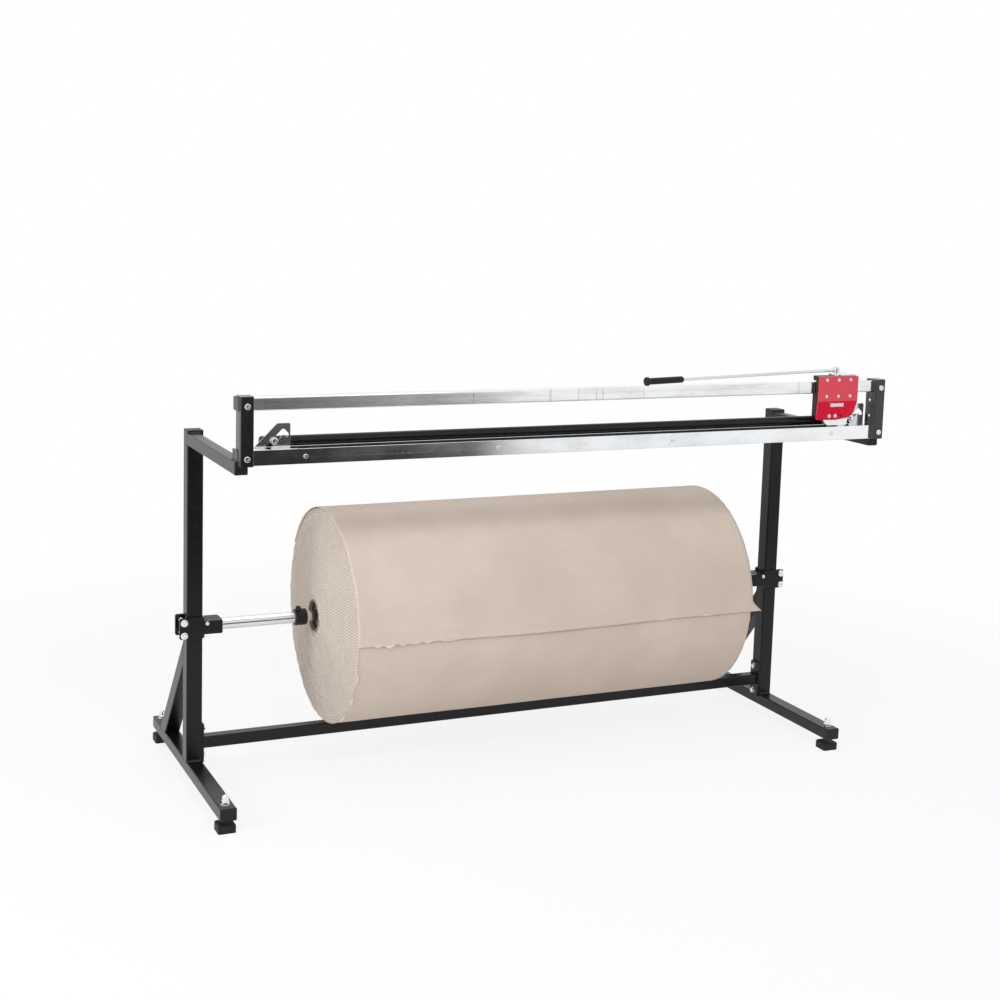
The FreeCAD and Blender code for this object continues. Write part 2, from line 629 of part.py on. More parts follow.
def end_bracket(side):
    x0, x1 = side_x(side, BRACKET_X[0], BRACKET_X[1])
    front = rounded_box(x0, x1, BRACKET_FRONT, CUT_BAR_Y[0], CUT_BAR_Z[0], TOP_RAIL_Z[1] + 3, Z_AXIS, 2)
    spacer = box(x0, x1, CUT_BAR_Y[0], BRACKET_BACK, LOW_RAIL_Z[1], TOP_RAIL_Z[0])
    lid = box(x0, x1, BRACKET_FRONT + 3, BRACKET_BACK, TOP_RAIL_Z[1], TOP_RAIL_Z[1] + 3)
    body = merge([front, spacer, lid])
    for z in BRACKET_SCREW_Z:
        body = body.cut(rod(V(side * BRACKET_SCREW_X, OUT_Y, z), Y_AXIS, 4.2, CLEAR + 10))
    for z in SIDE_SCREWS_Z:
        body = body.cut(rod(V(side * (BRACKET_X[0] - 1), SIDE_SCREW_Y, z), X_AXIS * side, 2.0, 11))
    return body


def bracket_screws():
    solids = []
    out = Y_AXIS * -1
    for side in (-1, 1):
        for z, wall_back in ((BRACKET_SCREW_Z[0], LOW_RAIL_Y[0] + WALL), (BRACKET_SCREW_Z[1], TOP_RAIL_Y[0] + WALL)):
            seat = V(side * BRACKET_SCREW_X, BRACKET_FRONT, z)
            head = round_head(seat, out, 7.0, 4.6, 5.0)
            length = wall_back - BRACKET_FRONT + 9
            solids.append(merge([head, rod(seat, Y_AXIS, 4.0, length)]))
            solids.append(ring(V(seat.x, wall_back, z), Y_AXIS, 5.4, 4.0, 6.5))
    return group(*solids)


def bracket_side_screws():
    solids = []
    for side in (-1, 1):
        for z in SIDE_SCREWS_Z:
            seat = V(side * BRACKET_X[0], SIDE_SCREW_Y, z)
            head = round_head(seat, X_AXIS * -side, 3.8, 2.2, 2.5)
            solids.append(merge([head, rod(seat, X_AXIS * side, 2.0, 9)]))
    return group(*solids)


def hook_plate(shift):
    """Flat plate on edge with a slanting slot that turns down into a notch."""
    y0, y1 = HOOK_Y
    base = LOW_RAIL_Z[1]
    right = HOOK_BOLT_X + 37.5
    top = base + 54.5
    left = HOOK_BOLT_X - 47.5
    outline = [V(left, y0, base), V(left + 54.5, y0, top), V(right, y0, top), V(right, y0, base)]
    plate = prism(outline, Y_AXIS, y1 - y0)
    corner = [e for e in plate.Edges if abs(e.CenterOfMass.x - right) < 0.01 and abs(e.CenterOfMass.z - top) < 0.01]
    plate = plate.makeFillet(4.5, corner)
    apex = V(HOOK_BOLT_X + 21.0, 0, HOOK_BOLT_Z + 21.0)
    start = V(HOOK_BOLT_X - 30.0, 0, HOOK_BOLT_Z - 30.0)
    notch = V(HOOK_BOLT_X + 28.5, 0, HOOK_BOLT_Z + 13.5)
    for a, b in ((start, apex), (apex, notch)):
        plate = plate.cut(slot_cut(a, b))
    bead = prism([V(left + 4, y1, base), V(left + 4, y1 + 1.8, base), V(left + 4, y1, base + 1.8)], X_AXIS, 26)
    bead_far = bead.translated(V(42, 0, 0))
    plate = merge([plate, bead, bead_far])
    plate.translate(V(shift, 0, 0))
    return plate


def slot_cut(a, b):
    """Cutter for one straight length of slot with round ends."""
    line = b - a
    side = V(-line.z, 0, line.x).normalize() * SLOT_HALF
    low = V(0, HOOK_Y[0] - 1, 0)
    middle = prism([a + side + low, b + side + low, b - side + low, a - side + low], Y_AXIS, 5)
    ends = [rod(point + low, Y_AXIS, SLOT_HALF, 5) for point in (a, b)]
    return middle.fuse(ends[0]).fuse(ends[1])


def press_bar():
    bar = rod(V(PRESS_X[0], PRESS_Y, PRESS_Z), X_AXIS, PRESS_R, PRESS_X[1] - PRESS_X[0])
    bar = bar.makeChamfer(1.5, round_edges(bar, PRESS_R))
    for shift in (0, HOOK_RIGHT_SHIFT):
        bar = bar.cut(rod(V(HOOK_BOLT_X + shift, PRESS_Y - 30, HOOK_BOLT_Z), Y_AXIS, HOOK_BOLT_R, 60))
    return bar


def hook_bolts():
    solids = []
    for shift in (0, HOOK_RIGHT_SHIFT):
        x = HOOK_BOLT_X + shift
        front = V(x, HOOK_Y[0] - 0.3, HOOK_BOLT_Z)
        out = Y_AXIS * -1
        solids.append(ring(front, out, 10.0, HOOK_BOLT_R + 0.1, 1.5))
        head = round_head(front + out * 1.5, out, 7.8, 5.7, 6.0)
        shank = rod(front + out * 1.5, Y_AXIS, HOOK_BOLT_R, PRESS_Y + PRESS_R + 8 - front.y + 1.5)
        solids.append(merge([head, shank]))
        back = V(x, PRESS_Y + PRESS_R, HOOK_BOLT_Z)
        nut = hexagon(back, Y_AXIS, 16, 6)
        solids.append(nut.cut(rod(back - Y_AXIS * 2, Y_AXIS, HOOK_BOLT_R, 12)))
    return group(*solids)


def roller_height(row):
    gap = ROLLER_R + ROLLER_GAP
    return TOP_RAIL_Z[1] + gap if row > 0 else TOP_RAIL_Z[0] - gap


def cover_outline(inset, low):
    """Front outline of the cover: square at the top and lower left, cut away at the lower right."""
    x0, x1 = CAR_X[0] + inset, CAR_X[1] - inset
    return [(x0, CAR_TOP), (x1, CAR_TOP), (x1, FOLD_Z - 2), (x1 - 7, CAR_LOW + 16.0), (x1 - 15, CAR_LOW + 7.0),
            (x1 - 27, CAR_LOW + 2.5), (x1 - 60, low - 1.5), (x0 + 30, low - 0.5), (x0 + 3, low), (x0, low + 3)]


def profile_mask(inset, low):
    return prism([V(x, CAR_FACE - CLEAR, z) for x, z in cover_outline(inset, low)], Y_AXIS, 3 * CLEAR)


def lean_at(z):
    """How far the lower part of the front leans back at height z."""
    return max(0.0, (FOLD_Z - z) / (FOLD_Z - CAR_LOW)) * LEAN


def leaning_slab(front, back, low):
    """Slab across the carriage whose front leans back below the fold."""
    points = [V(CAR_X[0] - 5, front, CAR_TOP), V(CAR_X[0] - 5, front, FOLD_Z),
              V(CAR_X[0] - 5, front + lean_at(low), low)]
    if back is None:
        points += [V(CAR_X[0] - 5, front + lean_at(low) + SHEET, low), V(CAR_X[0] - 5, front + SHEET, FOLD_Z),
                   V(CAR_X[0] - 5, front + SHEET, CAR_TOP)]
    else:
        points += [V(CAR_X[0] - 5, back, low), V(CAR_X[0] - 5, back, CAR_TOP)]
    return prism(points, X_AXIS, CAR_X[1] - CAR_X[0] + 10)


def carriage_cover():
    sheet = leaning_slab(CAR_FACE - SHEET, None, CAR_LOW - 11)
    sheet = sheet.common(profile_mask(0, CAR_LOW - 1))
    for x in ROLLERS_X + (MID_SCREW_X,):
        for row in (-1, 1):
            sheet = sheet.cut(rod(V(x, CAR_FACE - CLEAR, roller_height(row)), Y_AXIS, AXLE_R + 0.2, 2 * CLEAR))
    for x in (GUARD_SCREW_X, WHEEL_X, 2 * WHEEL_X - GUARD_SCREW_X - 0.5):
        sheet = sheet.cut(rod(V(x, CAR_FACE - CLEAR, WHEEL_Z), Y_AXIS, 3.2, 2 * CLEAR))
    return sheet


def guard_blank(grow=0.0):
    y0, y1 = GUARD_Y
    left, right = GUARD_X[0] - grow, GUARD_X[1] + grow
    low, high = GUARD_Z[0] - grow, GUARD_Z[1] + grow
    outline = [V(left, y0, high), V(left, y0, GUARD_Z[0] + 11.0), V(left + 12.0, y0, low),
               V(right - 2.0, y0, low), V(right, y0, GUARD_Z[0] + 13.0), V(right, y0, high)]
    return prism(outline, Y_AXIS, y1 - y0)


def carriage_housing():
    wall = leaning_slab(CAR_FACE, CAR_BACK, CAR_LOW - 11).common(profile_mask(1.0, CAR_LOW + 1))
    top = box(BLOCK_X[0], BLOCK_X[1], CAR_BACK, BLOCK_BACK, TOP_RAIL_Z[1] + RAIL_GAP, CAR_TOP)
    low = box(BLOCK_X[0], BLOCK_X[1], CAR_BACK, BLOCK_BACK, CAR_LOW + 3, TOP_RAIL_Z[0] - RAIL_GAP)
    low = low.makeChamfer(9, [e for e in low.Edges if abs(e.CenterOfMass.z - CAR_LOW - 3) < 0.01
                              and abs(e.CenterOfMass.x - BLOCK_X[1]) < 0.01])
    body = merge([wall, top, low])
    body = body.cut(guard_blank(0.3))
    for x in ROLLERS_X:
        for row in (-1, 1):
            z = roller_height(row)
            pocket = rod(V(x, CAR_BACK + 1.8, z), Y_AXIS, ROLLER_R + 1.0, 8.2)
            opening = box(x - ROLLER_R - 1, x + ROLLER_R + 1, CAR_BACK + 1.8, CAR_BACK + 10,
                          min(z, z - row * 8), max(z, z - row * 8))
            body = body.cut(pocket).cut(opening)
            body = body.cut(rod(V(x, CAR_FACE - CLEAR, z), Y_AXIS, AXLE_R, CLEAR + 30))
    for row in (-1, 1):
        body = body.cut(rod(V(MID_SCREW_X, CAR_FACE - CLEAR, roller_height(row)), Y_AXIS, AXLE_R, CLEAR + 11))
    slot_y0, slot_y1 = WHEEL_Y[0] - 1.6, WHEEL_Y[1] + 1.6
    wheel_room = rod(V(WHEEL_X, slot_y0, WHEEL_Z), Y_AXIS, WHEEL_R + 2, slot_y1 - slot_y0)
    below = box(WHEEL_X - WHEEL_R - 2, WHEEL_X + WHEEL_R + 2, slot_y0, slot_y1, LOW_RAIL_Z[0], WHEEL_Z)
    body = body.cut(wheel_room).cut(below)
    body = body.cut(rod(V(WHEEL_X, CAR_FACE - CLEAR, WHEEL_Z), Y_AXIS, WHEEL_AXLE_R, CLEAR + 34))
    body = body.cut(rod(V(GUARD_SCREW_X, CAR_FACE - CLEAR, WHEEL_Z), Y_AXIS, 2.5, CLEAR + 20))
    return body.cut(rod(V(LEVER_X, LEVER_Y, CAR_TOP - POST_DEPTH), Z_AXIS, 5.0, CLEAR))


def cover_screws():
    solids = []
    out = Y_AXIS * -1
    for x in ROLLERS_X + (MID_SCREW_X,):
        for row in (-1, 1):
            seat = V(x, CAR_FACE - SHEET, roller_height(row))
            length = 12 if x == MID_SCREW_X else 28
            head = round_head(seat, out, 4.2, 2.6, 2.5)
            solids.append(merge([head, rod(seat, Y_AXIS, AXLE_R, length)]))
    return group(*solids)


def lower_screws():
    solids = []
    out = Y_AXIS * -1
    for x, radius, end in ((GUARD_SCREW_X, 2.5, GUARD_Y[1] + 0.8), (WHEEL_X, WHEEL_AXLE_R, BLOCK_BACK - 2)):
        seat_y = CAR_FACE - SHEET + lean_at(WHEEL_Z + 4) + 0.6
        seat = V(x, seat_y, WHEEL_Z)
        head = round_head(V(x, seat_y - 1.2, WHEEL_Z), out, 4.6, 2.6, 3.0)
        stub = rod(V(x, seat_y - 1.2, WHEEL_Z), Y_AXIS, min(radius, 3.0), 2)
        solids.append(merge([head, stub, rod(seat, Y_AXIS, radius, end - seat_y)]))
    return group(*solids)


def guide_roller(x, row):
    z = roller_height(row)
    y0 = CAR_BACK + 2.4
    return ring(V(x, y0, z), Y_AXIS, ROLLER_R, AXLE_R + FIT, 7)


def cutting_wheel():
    y0, y1 = WHEEL_Y
    centre = V(WHEEL_X, y0, WHEEL_Z)
    blank = rod(centre, Y_AXIS, WHEEL_R, y1 - y0)
    middle = (y0 + y1) / 2
    edge = [V(WHEEL_X, y0 - 1, WHEEL_Z + WHEEL_R + 1), V(WHEEL_X, y0 - 0.001, WHEEL_Z + WHEEL_R - 3.5),
            V(WHEEL_X, middle - 0.15, WHEEL_Z + WHEEL_R + 0.001), V(WHEEL_X, middle - 0.15, WHEEL_Z + WHEEL_R + 1)]
    cut = Part.Face(Part.makePolygon(edge + [edge[0]])).revolve(centre, Y_AXIS, 360)
    mirror = cut.mirror(V(0, middle, 0), Y_AXIS)
    wheel = blank.cut(cut).cut(mirror)
    hub = ring(V(WHEEL_X, y0 - 1.2, WHEEL_Z), Y_AXIS, 8.0, WHEEL_AXLE_R + FIT, y1 - y0 + 2.4)
    wheel = merge([wheel, hub])
    return wheel.cut(rod(V(WHEEL_X, y0 - 5, WHEEL_Z), Y_AXIS, WHEEL_AXLE_R + FIT, 12))


def wheel_guard():
    plate = guard_blank()
    for x, radius in ((GUARD_SCREW_X, 2.5), (WHEEL_X, WHEEL_AXLE_R)):
        plate = plate.cut(rod(V(x, CAR_FACE, WHEEL_Z), Y_AXIS, radius, CLEAR))
    return plate


def rear_keeper():
    """Strap from the housing over the rail and down behind it."""
    x0, x1 = KEEPER_X
    near, far = TOP_RAIL_Y[1] + 0.5, TOP_RAIL_Y[1] + 3.5
    flat = box(x0, x1, CAR_FACE + 6, far, CAR_TOP, CAR_TOP + 3)
    drop = box(x0, x1, near, far, TOP_RAIL_Z[0] + 2.5, CAR_TOP + 3)
    body = merge([flat, drop])
    return body.makeFillet(2.0, [e for e in long_edges(body, X_AXIS)
                                 if abs(e.CenterOfMass.z - CAR_TOP - 3) < 0.01 and e.CenterOfMass.y > near])


def label_plate():
    z0, z1 = FOLD_Z - 14.5, FOLD_Z - 5.5
    x0 = CAR_X[0] + 39.0
    y0, y1 = (CAR_FACE - SHEET + lean_at(z) for z in (z0, z1))
    points = [V(x0, y0, z0), V(x0, y1, z1), V(x0, y1 - 0.8, z1), V(x0, y0 - 0.8, z0)]
    return prism(points, X_AXIS, 40)


def lever_post():
    stem = rod(V(LEVER_X, LEVER_Y, CAR_TOP - POST_DEPTH), Z_AXIS, 5.0, LEVER_Z + 7 - CAR_TOP + POST_DEPTH)
    base = rod(V(LEVER_X, LEVER_Y, CAR_TOP), Z_AXIS, 9.0, 3.5)
    step = rod(V(LEVER_X, LEVER_Y, CAR_TOP), Z_AXIS, 7.0, LEVER_Z - 5.3 - CAR_TOP)
    head = Part.makeCylinder(7.5, 4.5, V(LEVER_X, LEVER_Y, LEVER_Z + 5.3), Z_AXIS)
    head = head.makeFillet(2.0, [e for e in head.Edges if e.CenterOfMass.z > LEVER_Z + 9])
    return merge([stem, base, step, head])


def lever_frame():
    angle = math.radians(LEVER_TURN)
    return V(LEVER_X, LEVER_Y, LEVER_Z), V(-math.cos(angle), -math.sin(angle), 0)


def lever_rod():
    pivot, along = lever_frame()
    eye = Part.makeCylinder(LEVER_EYE_R, 10.0, pivot - Z_AXIS * 5, Z_AXIS)
    eye = eye.makeChamfer(1.0, round_edges(eye, LEVER_EYE_R))
    bar = rod(pivot + along * 7, along, LEVER_ROD_R, LEVER_ROD + GRIP - 12 - 7)
    body = merge([eye, bar])
    return body.cut(rod(pivot - Z_AXIS * 10, Z_AXIS, 5.0 + FIT, 20))


def lever_grip():
    pivot, along = lever_frame()
    start = pivot + along * LEVER_ROD
    radii = [6.0, 7.6]
    points = [(0.0, LEVER_ROD_R), (0.0, 6.0), (3.0, 7.6)]
    ribs = 13
    pitch = (GRIP - 16.0) / ribs
    for k in range(ribs):
        x = 3.0 + k * pitch
        points += [(x + pitch * 0.55, radii[1] + 0.2), (x + pitch * 0.62, 6.6), (x + pitch * 0.93, 6.6),
                   (x + pitch, radii[1] + 0.2)]
    points += [(GRIP - 10.0, 8.0), (GRIP - 6.0, 10.3), (GRIP - 1.5, 10.3), (GRIP, 8.5), (GRIP, 0.0),
               (GRIP - 12.0, 0.0), (GRIP - 12.0, LEVER_ROD_R)]
    up = Z_AXIS
    corners = [start + along * x + up * r for x, r in points]
    face = Part.Face(Part.makePolygon(corners + [corners[0]]))
    return face.revolve(start, along, 360)


def build():
    for side, word in ((-1, "left"), (1, "right")):
        save(word + "_post", post(side))
        save(word + "_foot_tube", foot_tube(side))
        save(word + "_brace", brace(side))
        save(word + "_arm", arm(side))
        save(word + "_clamp_plates", group(clamp_plate(side, -CLAMP_PLATE), clamp_plate(side, POST)))
        save(word + "_shaft_jaws", shaft_jaws(side))
        save(word + "_end_bracket", end_bracket(side))
        save(word + "_hook_plate", hook_plate(0 if side < 0 else HOOK_RIGHT_SHIFT))
    save("post_caps", post_caps())
    save("foot_caps", foot_caps())
    save("arm_caps", arm_caps())
    save("crossbar", crossbar())
    save("crossbar_bolts", crossbar_bolts())
    save("foot_pads", foot_pads())
    save("foot_studs", foot_studs())
    save("foot_nuts", foot_nuts())
    save("clamp_bolts", clamp_bolts())
    save("jaw_bolts", jaw_bolts())
    save("roll_shaft", roll_shaft())
    save("left_collar", collar(LEFT_COLLAR_X, LEFT_COLLAR_X + 8))
    save("right_collar", collar(RIGHT_COLLAR_X, RIGHT_COLLAR_X + COLLAR_LENGTH - 8))
    save("left_collar_screw", collar_screw(LEFT_COLLAR_X + 8))
    save("right_collar_screw", collar_screw(RIGHT_COLLAR_X + COLLAR_LENGTH - 8))
    save("paper_roll", paper_roll())
    save("paper_lap", paper_lap())
    save("roll_core", roll_core())
    save("core_hubs", core_hubs())
    save("top_rail", top_rail())
    save("bottom_rail", bottom_rail())
    save("cutting_bar", cutting_bar())
    save("cutting_bar_screws", cutting_bar_screws())
    save("cutting_strip", cutting_strip())
    save("rail_plugs", rail_plugs())
    save("bracket_screws", bracket_screws())
    save("bracket_side_screws", bracket_side_screws())
    save("press_bar", press_bar())
    save("hook_bolts", hook_bolts())
    save("carriage_housing", carriage_housing())
    save("carriage_cover", carriage_cover())
    save("cover_screws", cover_screws())
    save("lower_screws", lower_screws())
    for x, word in zip(ROLLERS_X, ("left", "right")):
        save("upper_roller_" + word, guide_roller(x, 1))
        save("lower_roller_" + word, guide_roller(x, -1))
    save("cutting_wheel", cutting_wheel())
    save("wheel_guard", wheel_guard())
    save("rear_keeper", rear_keeper())
    save("label_plate", label_plate())
    save("lever_post", lever_post())
    save("lever_rod", lever_rod())
    save("lever_grip", lever_grip())


ALL_SHAPES = []
os.makedirs("parts", exist_ok=True)
build()
whole = Part.makeCompound(ALL_SHAPES).BoundBox
print("nodes", len(ALL_SHAPES))
print("x", round(whole.XMin, 2), round(whole.XMax, 2))
print("y", round(whole.YMin, 2), round(whole.YMax, 2), "middle", round((whole.YMin + whole.YMax) / 2, 3))
print("z", round(whole.ZMin, 2), round(whole.ZMax, 2))
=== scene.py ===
# %% [markdown]
# # A floor-standing paper roll cutter
# The measured model of the stand comes in as a fixed frame, and every piece in it already has its real
# size and place. This file gives those pieces their finishes, replaces the plain roll of paper with a
# wound one, and adds the small things a workshop leaves behind, such as weld beads.
# Everything is in metres: +X runs along the roll, +Y to the back and +Z up, with the floor at 0.

# %% Load the frame
import math

import bpy
from mathutils import Matrix, Vector, noise


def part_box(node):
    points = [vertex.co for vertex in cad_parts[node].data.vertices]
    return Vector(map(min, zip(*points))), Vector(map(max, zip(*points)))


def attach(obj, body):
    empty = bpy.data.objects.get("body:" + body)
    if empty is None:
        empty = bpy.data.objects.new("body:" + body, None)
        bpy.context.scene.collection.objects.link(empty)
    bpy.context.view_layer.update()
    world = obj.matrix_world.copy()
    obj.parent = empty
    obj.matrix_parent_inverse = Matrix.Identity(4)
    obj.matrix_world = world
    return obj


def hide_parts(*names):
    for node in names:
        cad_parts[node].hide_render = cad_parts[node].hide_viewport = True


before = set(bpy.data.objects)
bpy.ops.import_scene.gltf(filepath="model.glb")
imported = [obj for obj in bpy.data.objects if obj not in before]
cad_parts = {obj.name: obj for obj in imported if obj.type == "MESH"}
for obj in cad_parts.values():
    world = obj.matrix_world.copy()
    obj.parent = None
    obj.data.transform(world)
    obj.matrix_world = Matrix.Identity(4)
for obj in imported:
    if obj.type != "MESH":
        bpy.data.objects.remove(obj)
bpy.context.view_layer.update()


def box_of(node):
    """Lowest and highest corner of a node."""
    low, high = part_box(node)
    return Vector(low), Vector(high)


# %% [markdown]
# ## Writing shader maths as sums
# Node trees are easier to read as sums than as wiring. One small class holds a socket and turns
# + - * / into Math nodes. Another makes any other node from its type, its settings and what its sockets
# take. A list of links would do the same, but this way the recipe stays on the page.

# %% A socket that can be added and multiplied
class Wire:
    """A node's output that works in sums."""

    def __init__(self, tree, socket):
        self.tree = tree
        self.socket = socket

    def maths(self, operation, *others):
        return self.tree.sum_of(operation, self, *others)

    def __add__(self, other):
        return self.maths("ADD", other)

    def __sub__(self, other):
        return self.maths("SUBTRACT", other)

    def __mul__(self, other):
        return self.maths("MULTIPLY", other)

    def __truediv__(self, other):
        return self.maths("DIVIDE", other)

    def __rsub__(self, other):
        return self.tree.sum_of("SUBTRACT", other, self)

    def __rtruediv__(self, other):
        return self.tree.sum_of("DIVIDE", other, self)

    __radd__ = __add__
    __rmul__ = __mul__

    def part(self, low, high):
        """Nought below low, one above high and smooth in between."""
        settings = {"interpolation_type": "SMOOTHSTEP"}
        span = {"Value": self, "From Min": low, "From Max": high}
        return self.tree.node("ShaderNodeMapRange", settings, span)


# %% A tree of nodes
class Tree:
    """An empty node tree, filled by expressions."""

    def __init__(self, owner):
        owner.use_nodes = True
        self.nodes = owner.node_tree.nodes
        self.links = owner.node_tree.links
        self.nodes.clear()

    def node(self, kind, settings=None, sockets=None, out=0):
        """Makes a node and hands back one of its outputs, if it has any."""
        made = self.nodes.new(kind)
        for key, value in (settings or {}).items():
            setattr(made, key, value)
        for key, value in (sockets or {}).items():
            self.feed(made.inputs[key], value)
        return Wire(self, made.outputs[out]) if len(made.outputs) else None

    def feed(self, socket, value):
        if isinstance(value, Wire):
            self.links.new(value.socket, socket)
        else:
            socket.default_value = value

    def sum_of(self, operation, *values):
        return self.node("ShaderNodeMath", {"operation": operation}, dict(enumerate(values)))

    def mirror_rays(self):
        """One for what the camera sees by itself or in a gloss, and nought for plain light."""
        camera_ray = self.node("ShaderNodeLightPath", out="Is Camera Ray")
        glossy_ray = self.node("ShaderNodeLightPath", out="Is Glossy Ray")
        return camera_ray.maths("MAXIMUM", glossy_ray)


# %% A material
class Finish(Tree):
    """A material built from expressions."""

    def __init__(self, name):
        self.material = bpy.data.materials.new(name)
        super().__init__(self.material)
        self.surface = self.node("ShaderNodeBsdfPrincipled")

    def done(self, shader=None):
        """Shows the surface, or another shader, and hands back the material."""
        self.node("ShaderNodeOutputMaterial", None, {"Surface": shader or self.surface})
        return self.material

    def set(self, **values):
        """Sets the surface's sockets; an underscore stands for a space."""
        for key, value in values.items():
            self.feed(self.surface.socket.node.inputs[key.replace("_", " ")], value)

    def place(self, stretch=(1.0, 1.0, 1.0)):
        """Where a point is on the piece, stretched along the axes."""
        where = self.node("ShaderNodeTexCoord", out="Object")
        return self.node("ShaderNodeMapping", None, {"Vector": where, "Scale": stretch})

    def noise(self, scale, detail=3.0, rough=0.5, stretch=(1.0, 1.0, 1.0)):
        sockets = {"Vector": self.place(stretch), "Scale": scale, "Detail": detail, "Roughness": rough}
        return self.node("ShaderNodeTexNoise", None, sockets)

    def blend(self, share, first, second):
        """Colour between first and second."""
        settings = {"data_type": "RGBA", "clamp_factor": True}
        return self.node("ShaderNodeMix", settings, {0: share, 6: first, 7: second}, out=2)

    def soft_edge(self, radius):
        """A normal that rounds the sharp edges."""
        return self.node("ShaderNodeBevel", {"samples": 4}, {"Radius": radius})

    def bump(self, height, depth, under=None):
        sockets = {"Height": height, "Distance": depth, "Strength": 1.0}
        if under is not None:
            sockets["Normal"] = under
        return self.node("ShaderNodeBump", None, sockets)

    def edges(self, rounded):
        """One on sharp outer edges and nought on flats."""
        flat = self.node("ShaderNodeNewGeometry", out="Normal")
        settings = {"operation": "DOT_PRODUCT"}
        same = self.node("ShaderNodeVectorMath", settings, {0: rounded, 1: flat}, out="Value")
        return (1 - same).part(0.03, 0.25)


def grey(value, tint=0.0):
    """A nearly grey colour; tint is how much bluer it is."""
    return (value, value, value * (1 + tint), 1.0)


def rgb(red, green, blue):
    """A colour given as it looks on screen, from 0 to 255, turned into light."""
    out = []
    for part in (red, green, blue):
        part = part / 255
        out.append(part / 12.92 if part <= 0.04045 else ((part + 0.055) / 1.055) ** 2.4)
    return tuple(out) + (1.0,)


print("shader helpers ready")

# %% [markdown]
# ## Black powder coat on the stand
# The tubes are sprayed with dry powder and baked. It melts into a hard glossy skin with a faint orange
# peel, a little dust in the baking, and edges where the skin is thin. A plain dark gloss would look like
# glass, so the peel goes into the bump and the dust into the roughness.

# %% Powder coat
def powder_coat(name, base, gloss, peel, shine):
    made = Finish(name)
    mottle = made.noise(14.0, 4.0, 0.6)
    fine = made.noise(900.0, 2.0, 0.5)
    dust = made.noise(60.0, 5.0, 0.7).part(0.52, 0.75)
    rounded = made.soft_edge(0.0011)
    worn = made.edges(rounded)
    coat = made.blend(mottle, grey(base * 0.75, 0.12), grey(base * 1.3, 0.12))
    dusty = made.blend(dust * 0.25, coat, grey(0.022))
    made.set(Base_Color=made.blend(worn * 0.35, dusty, grey(0.06)))
    made.set(Roughness=gloss + fine * 0.06 + dust * 0.12 + worn * 0.1)
    made.set(Normal=made.bump(fine, peel, rounded), Specular_IOR_Level=shine)
    return made.done()


FRAME_PAINT = powder_coat("powder_coat_black", 0.0055, 0.26, 0.00004, 0.28)
BRACKET_PAINT = powder_coat("powder_coat_satin", 0.0050, 0.22, 0.00003, 0.75)
print("powder coat ready")


# %% [markdown]
# ## Drawn and plated steel
# The rails are drawn through a die, which leaves hair lines along their length, and then plated. Plating
# is never even: it goes cloudy in patches and gets scuffed where the carriage runs. Small fasteners are
# plated brighter. The lines come from a noise stretched along one axis.

# %% Steel with lines along an axis
def lined_steel(name, colour, stretch, gloss, lines=0.000005, cloud=0.5, marks=0.0):
    made = Finish(name)
    hair = made.noise(1.0, 3.0, 0.65, stretch)
    patches = made.noise(9.0, 5.0, 0.65, (0.5, 1.0, 1.0)).part(0.40, 0.68)
    spots = made.noise(130.0, 3.0, 0.7).part(0.60, 0.72)
    rounded = made.soft_edge(0.0008)
    worn = made.edges(rounded)
    dull = tuple(channel * 0.72 for channel in colour[:3]) + (1.0,)
    plated = made.blend(patches * cloud + spots * 0.15, colour, dull)
    if marks:
        across = made.noise(1.0, 1.0, 0.4, (90.0, 0.4, 0.4)).part(0.70, 0.72)
        smear = made.noise(1.0, 4.0, 0.6, (9.0, 120.0, 120.0)).part(0.44, 0.66)
        plated = made.blend(across * marks + smear * marks * 0.6, plated, grey(0.36))
    made.set(Base_Color=made.blend(worn * 0.5, plated, grey(0.88)))
    made.set(Roughness=gloss + hair * 0.05 + patches * 0.05 + spots * 0.04, Metallic=1.0)
    made.set(Normal=made.bump(hair, lines, rounded))
    return made.done()


ALONG_X = (6.0, 900.0, 900.0)
PALE_STEEL = (0.90, 0.92, 0.94, 1.0)
RAIL_STEEL = lined_steel("drawn_rail_steel", PALE_STEEL, ALONG_X, 0.08, cloud=0.4)
TOP_RAIL_STEEL = lined_steel("scuffed_rail_steel", PALE_STEEL, ALONG_X, 0.08, cloud=0.4, marks=0.35)
ROD_STEEL = lined_steel("drawn_rod_steel", grey(0.74, 0.03), ALONG_X, 0.09, cloud=0.3)
ZINC = lined_steel("zinc_plate", grey(0.74, 0.03), (220.0, 220.0, 220.0), 0.12, cloud=0.5)
BRIGHT = lined_steel("bright_plate", grey(0.86, 0.01), (400.0, 400.0, 400.0), 0.07, 0.000003, 0.2)
print("steels ready")


# %% [markdown]
# ## Moulded plastic, rubber and the black blocks
# Caps and plugs are moulded, so they carry a fine spark-eroded grain. The pads and the grip are rubber,
# softer and greyer where they are handled. The carriage block is milled, so it has faint tool lines.

# %% Plastic and rubber
def moulded(name, colour, grain, depth, gloss, dusty=0.3):
    made = Finish(name)
    skin = made.noise(grain, 3.0, 0.6)
    dust = made.noise(45.0, 5.0, 0.7).part(0.5, 0.8)
    rounded = made.soft_edge(0.0012)
    worn = made.edges(rounded)
    pale = tuple(0.6 * channel + 0.03 for channel in colour[:3]) + (1.0,)
    made.set(Base_Color=made.blend(dust * dusty + worn * 0.25, colour, pale), Specular_IOR_Level=0.3)
    made.set(Roughness=gloss + skin * 0.12 + dust * 0.1, Normal=made.bump(skin, depth, rounded))
    return made.done()


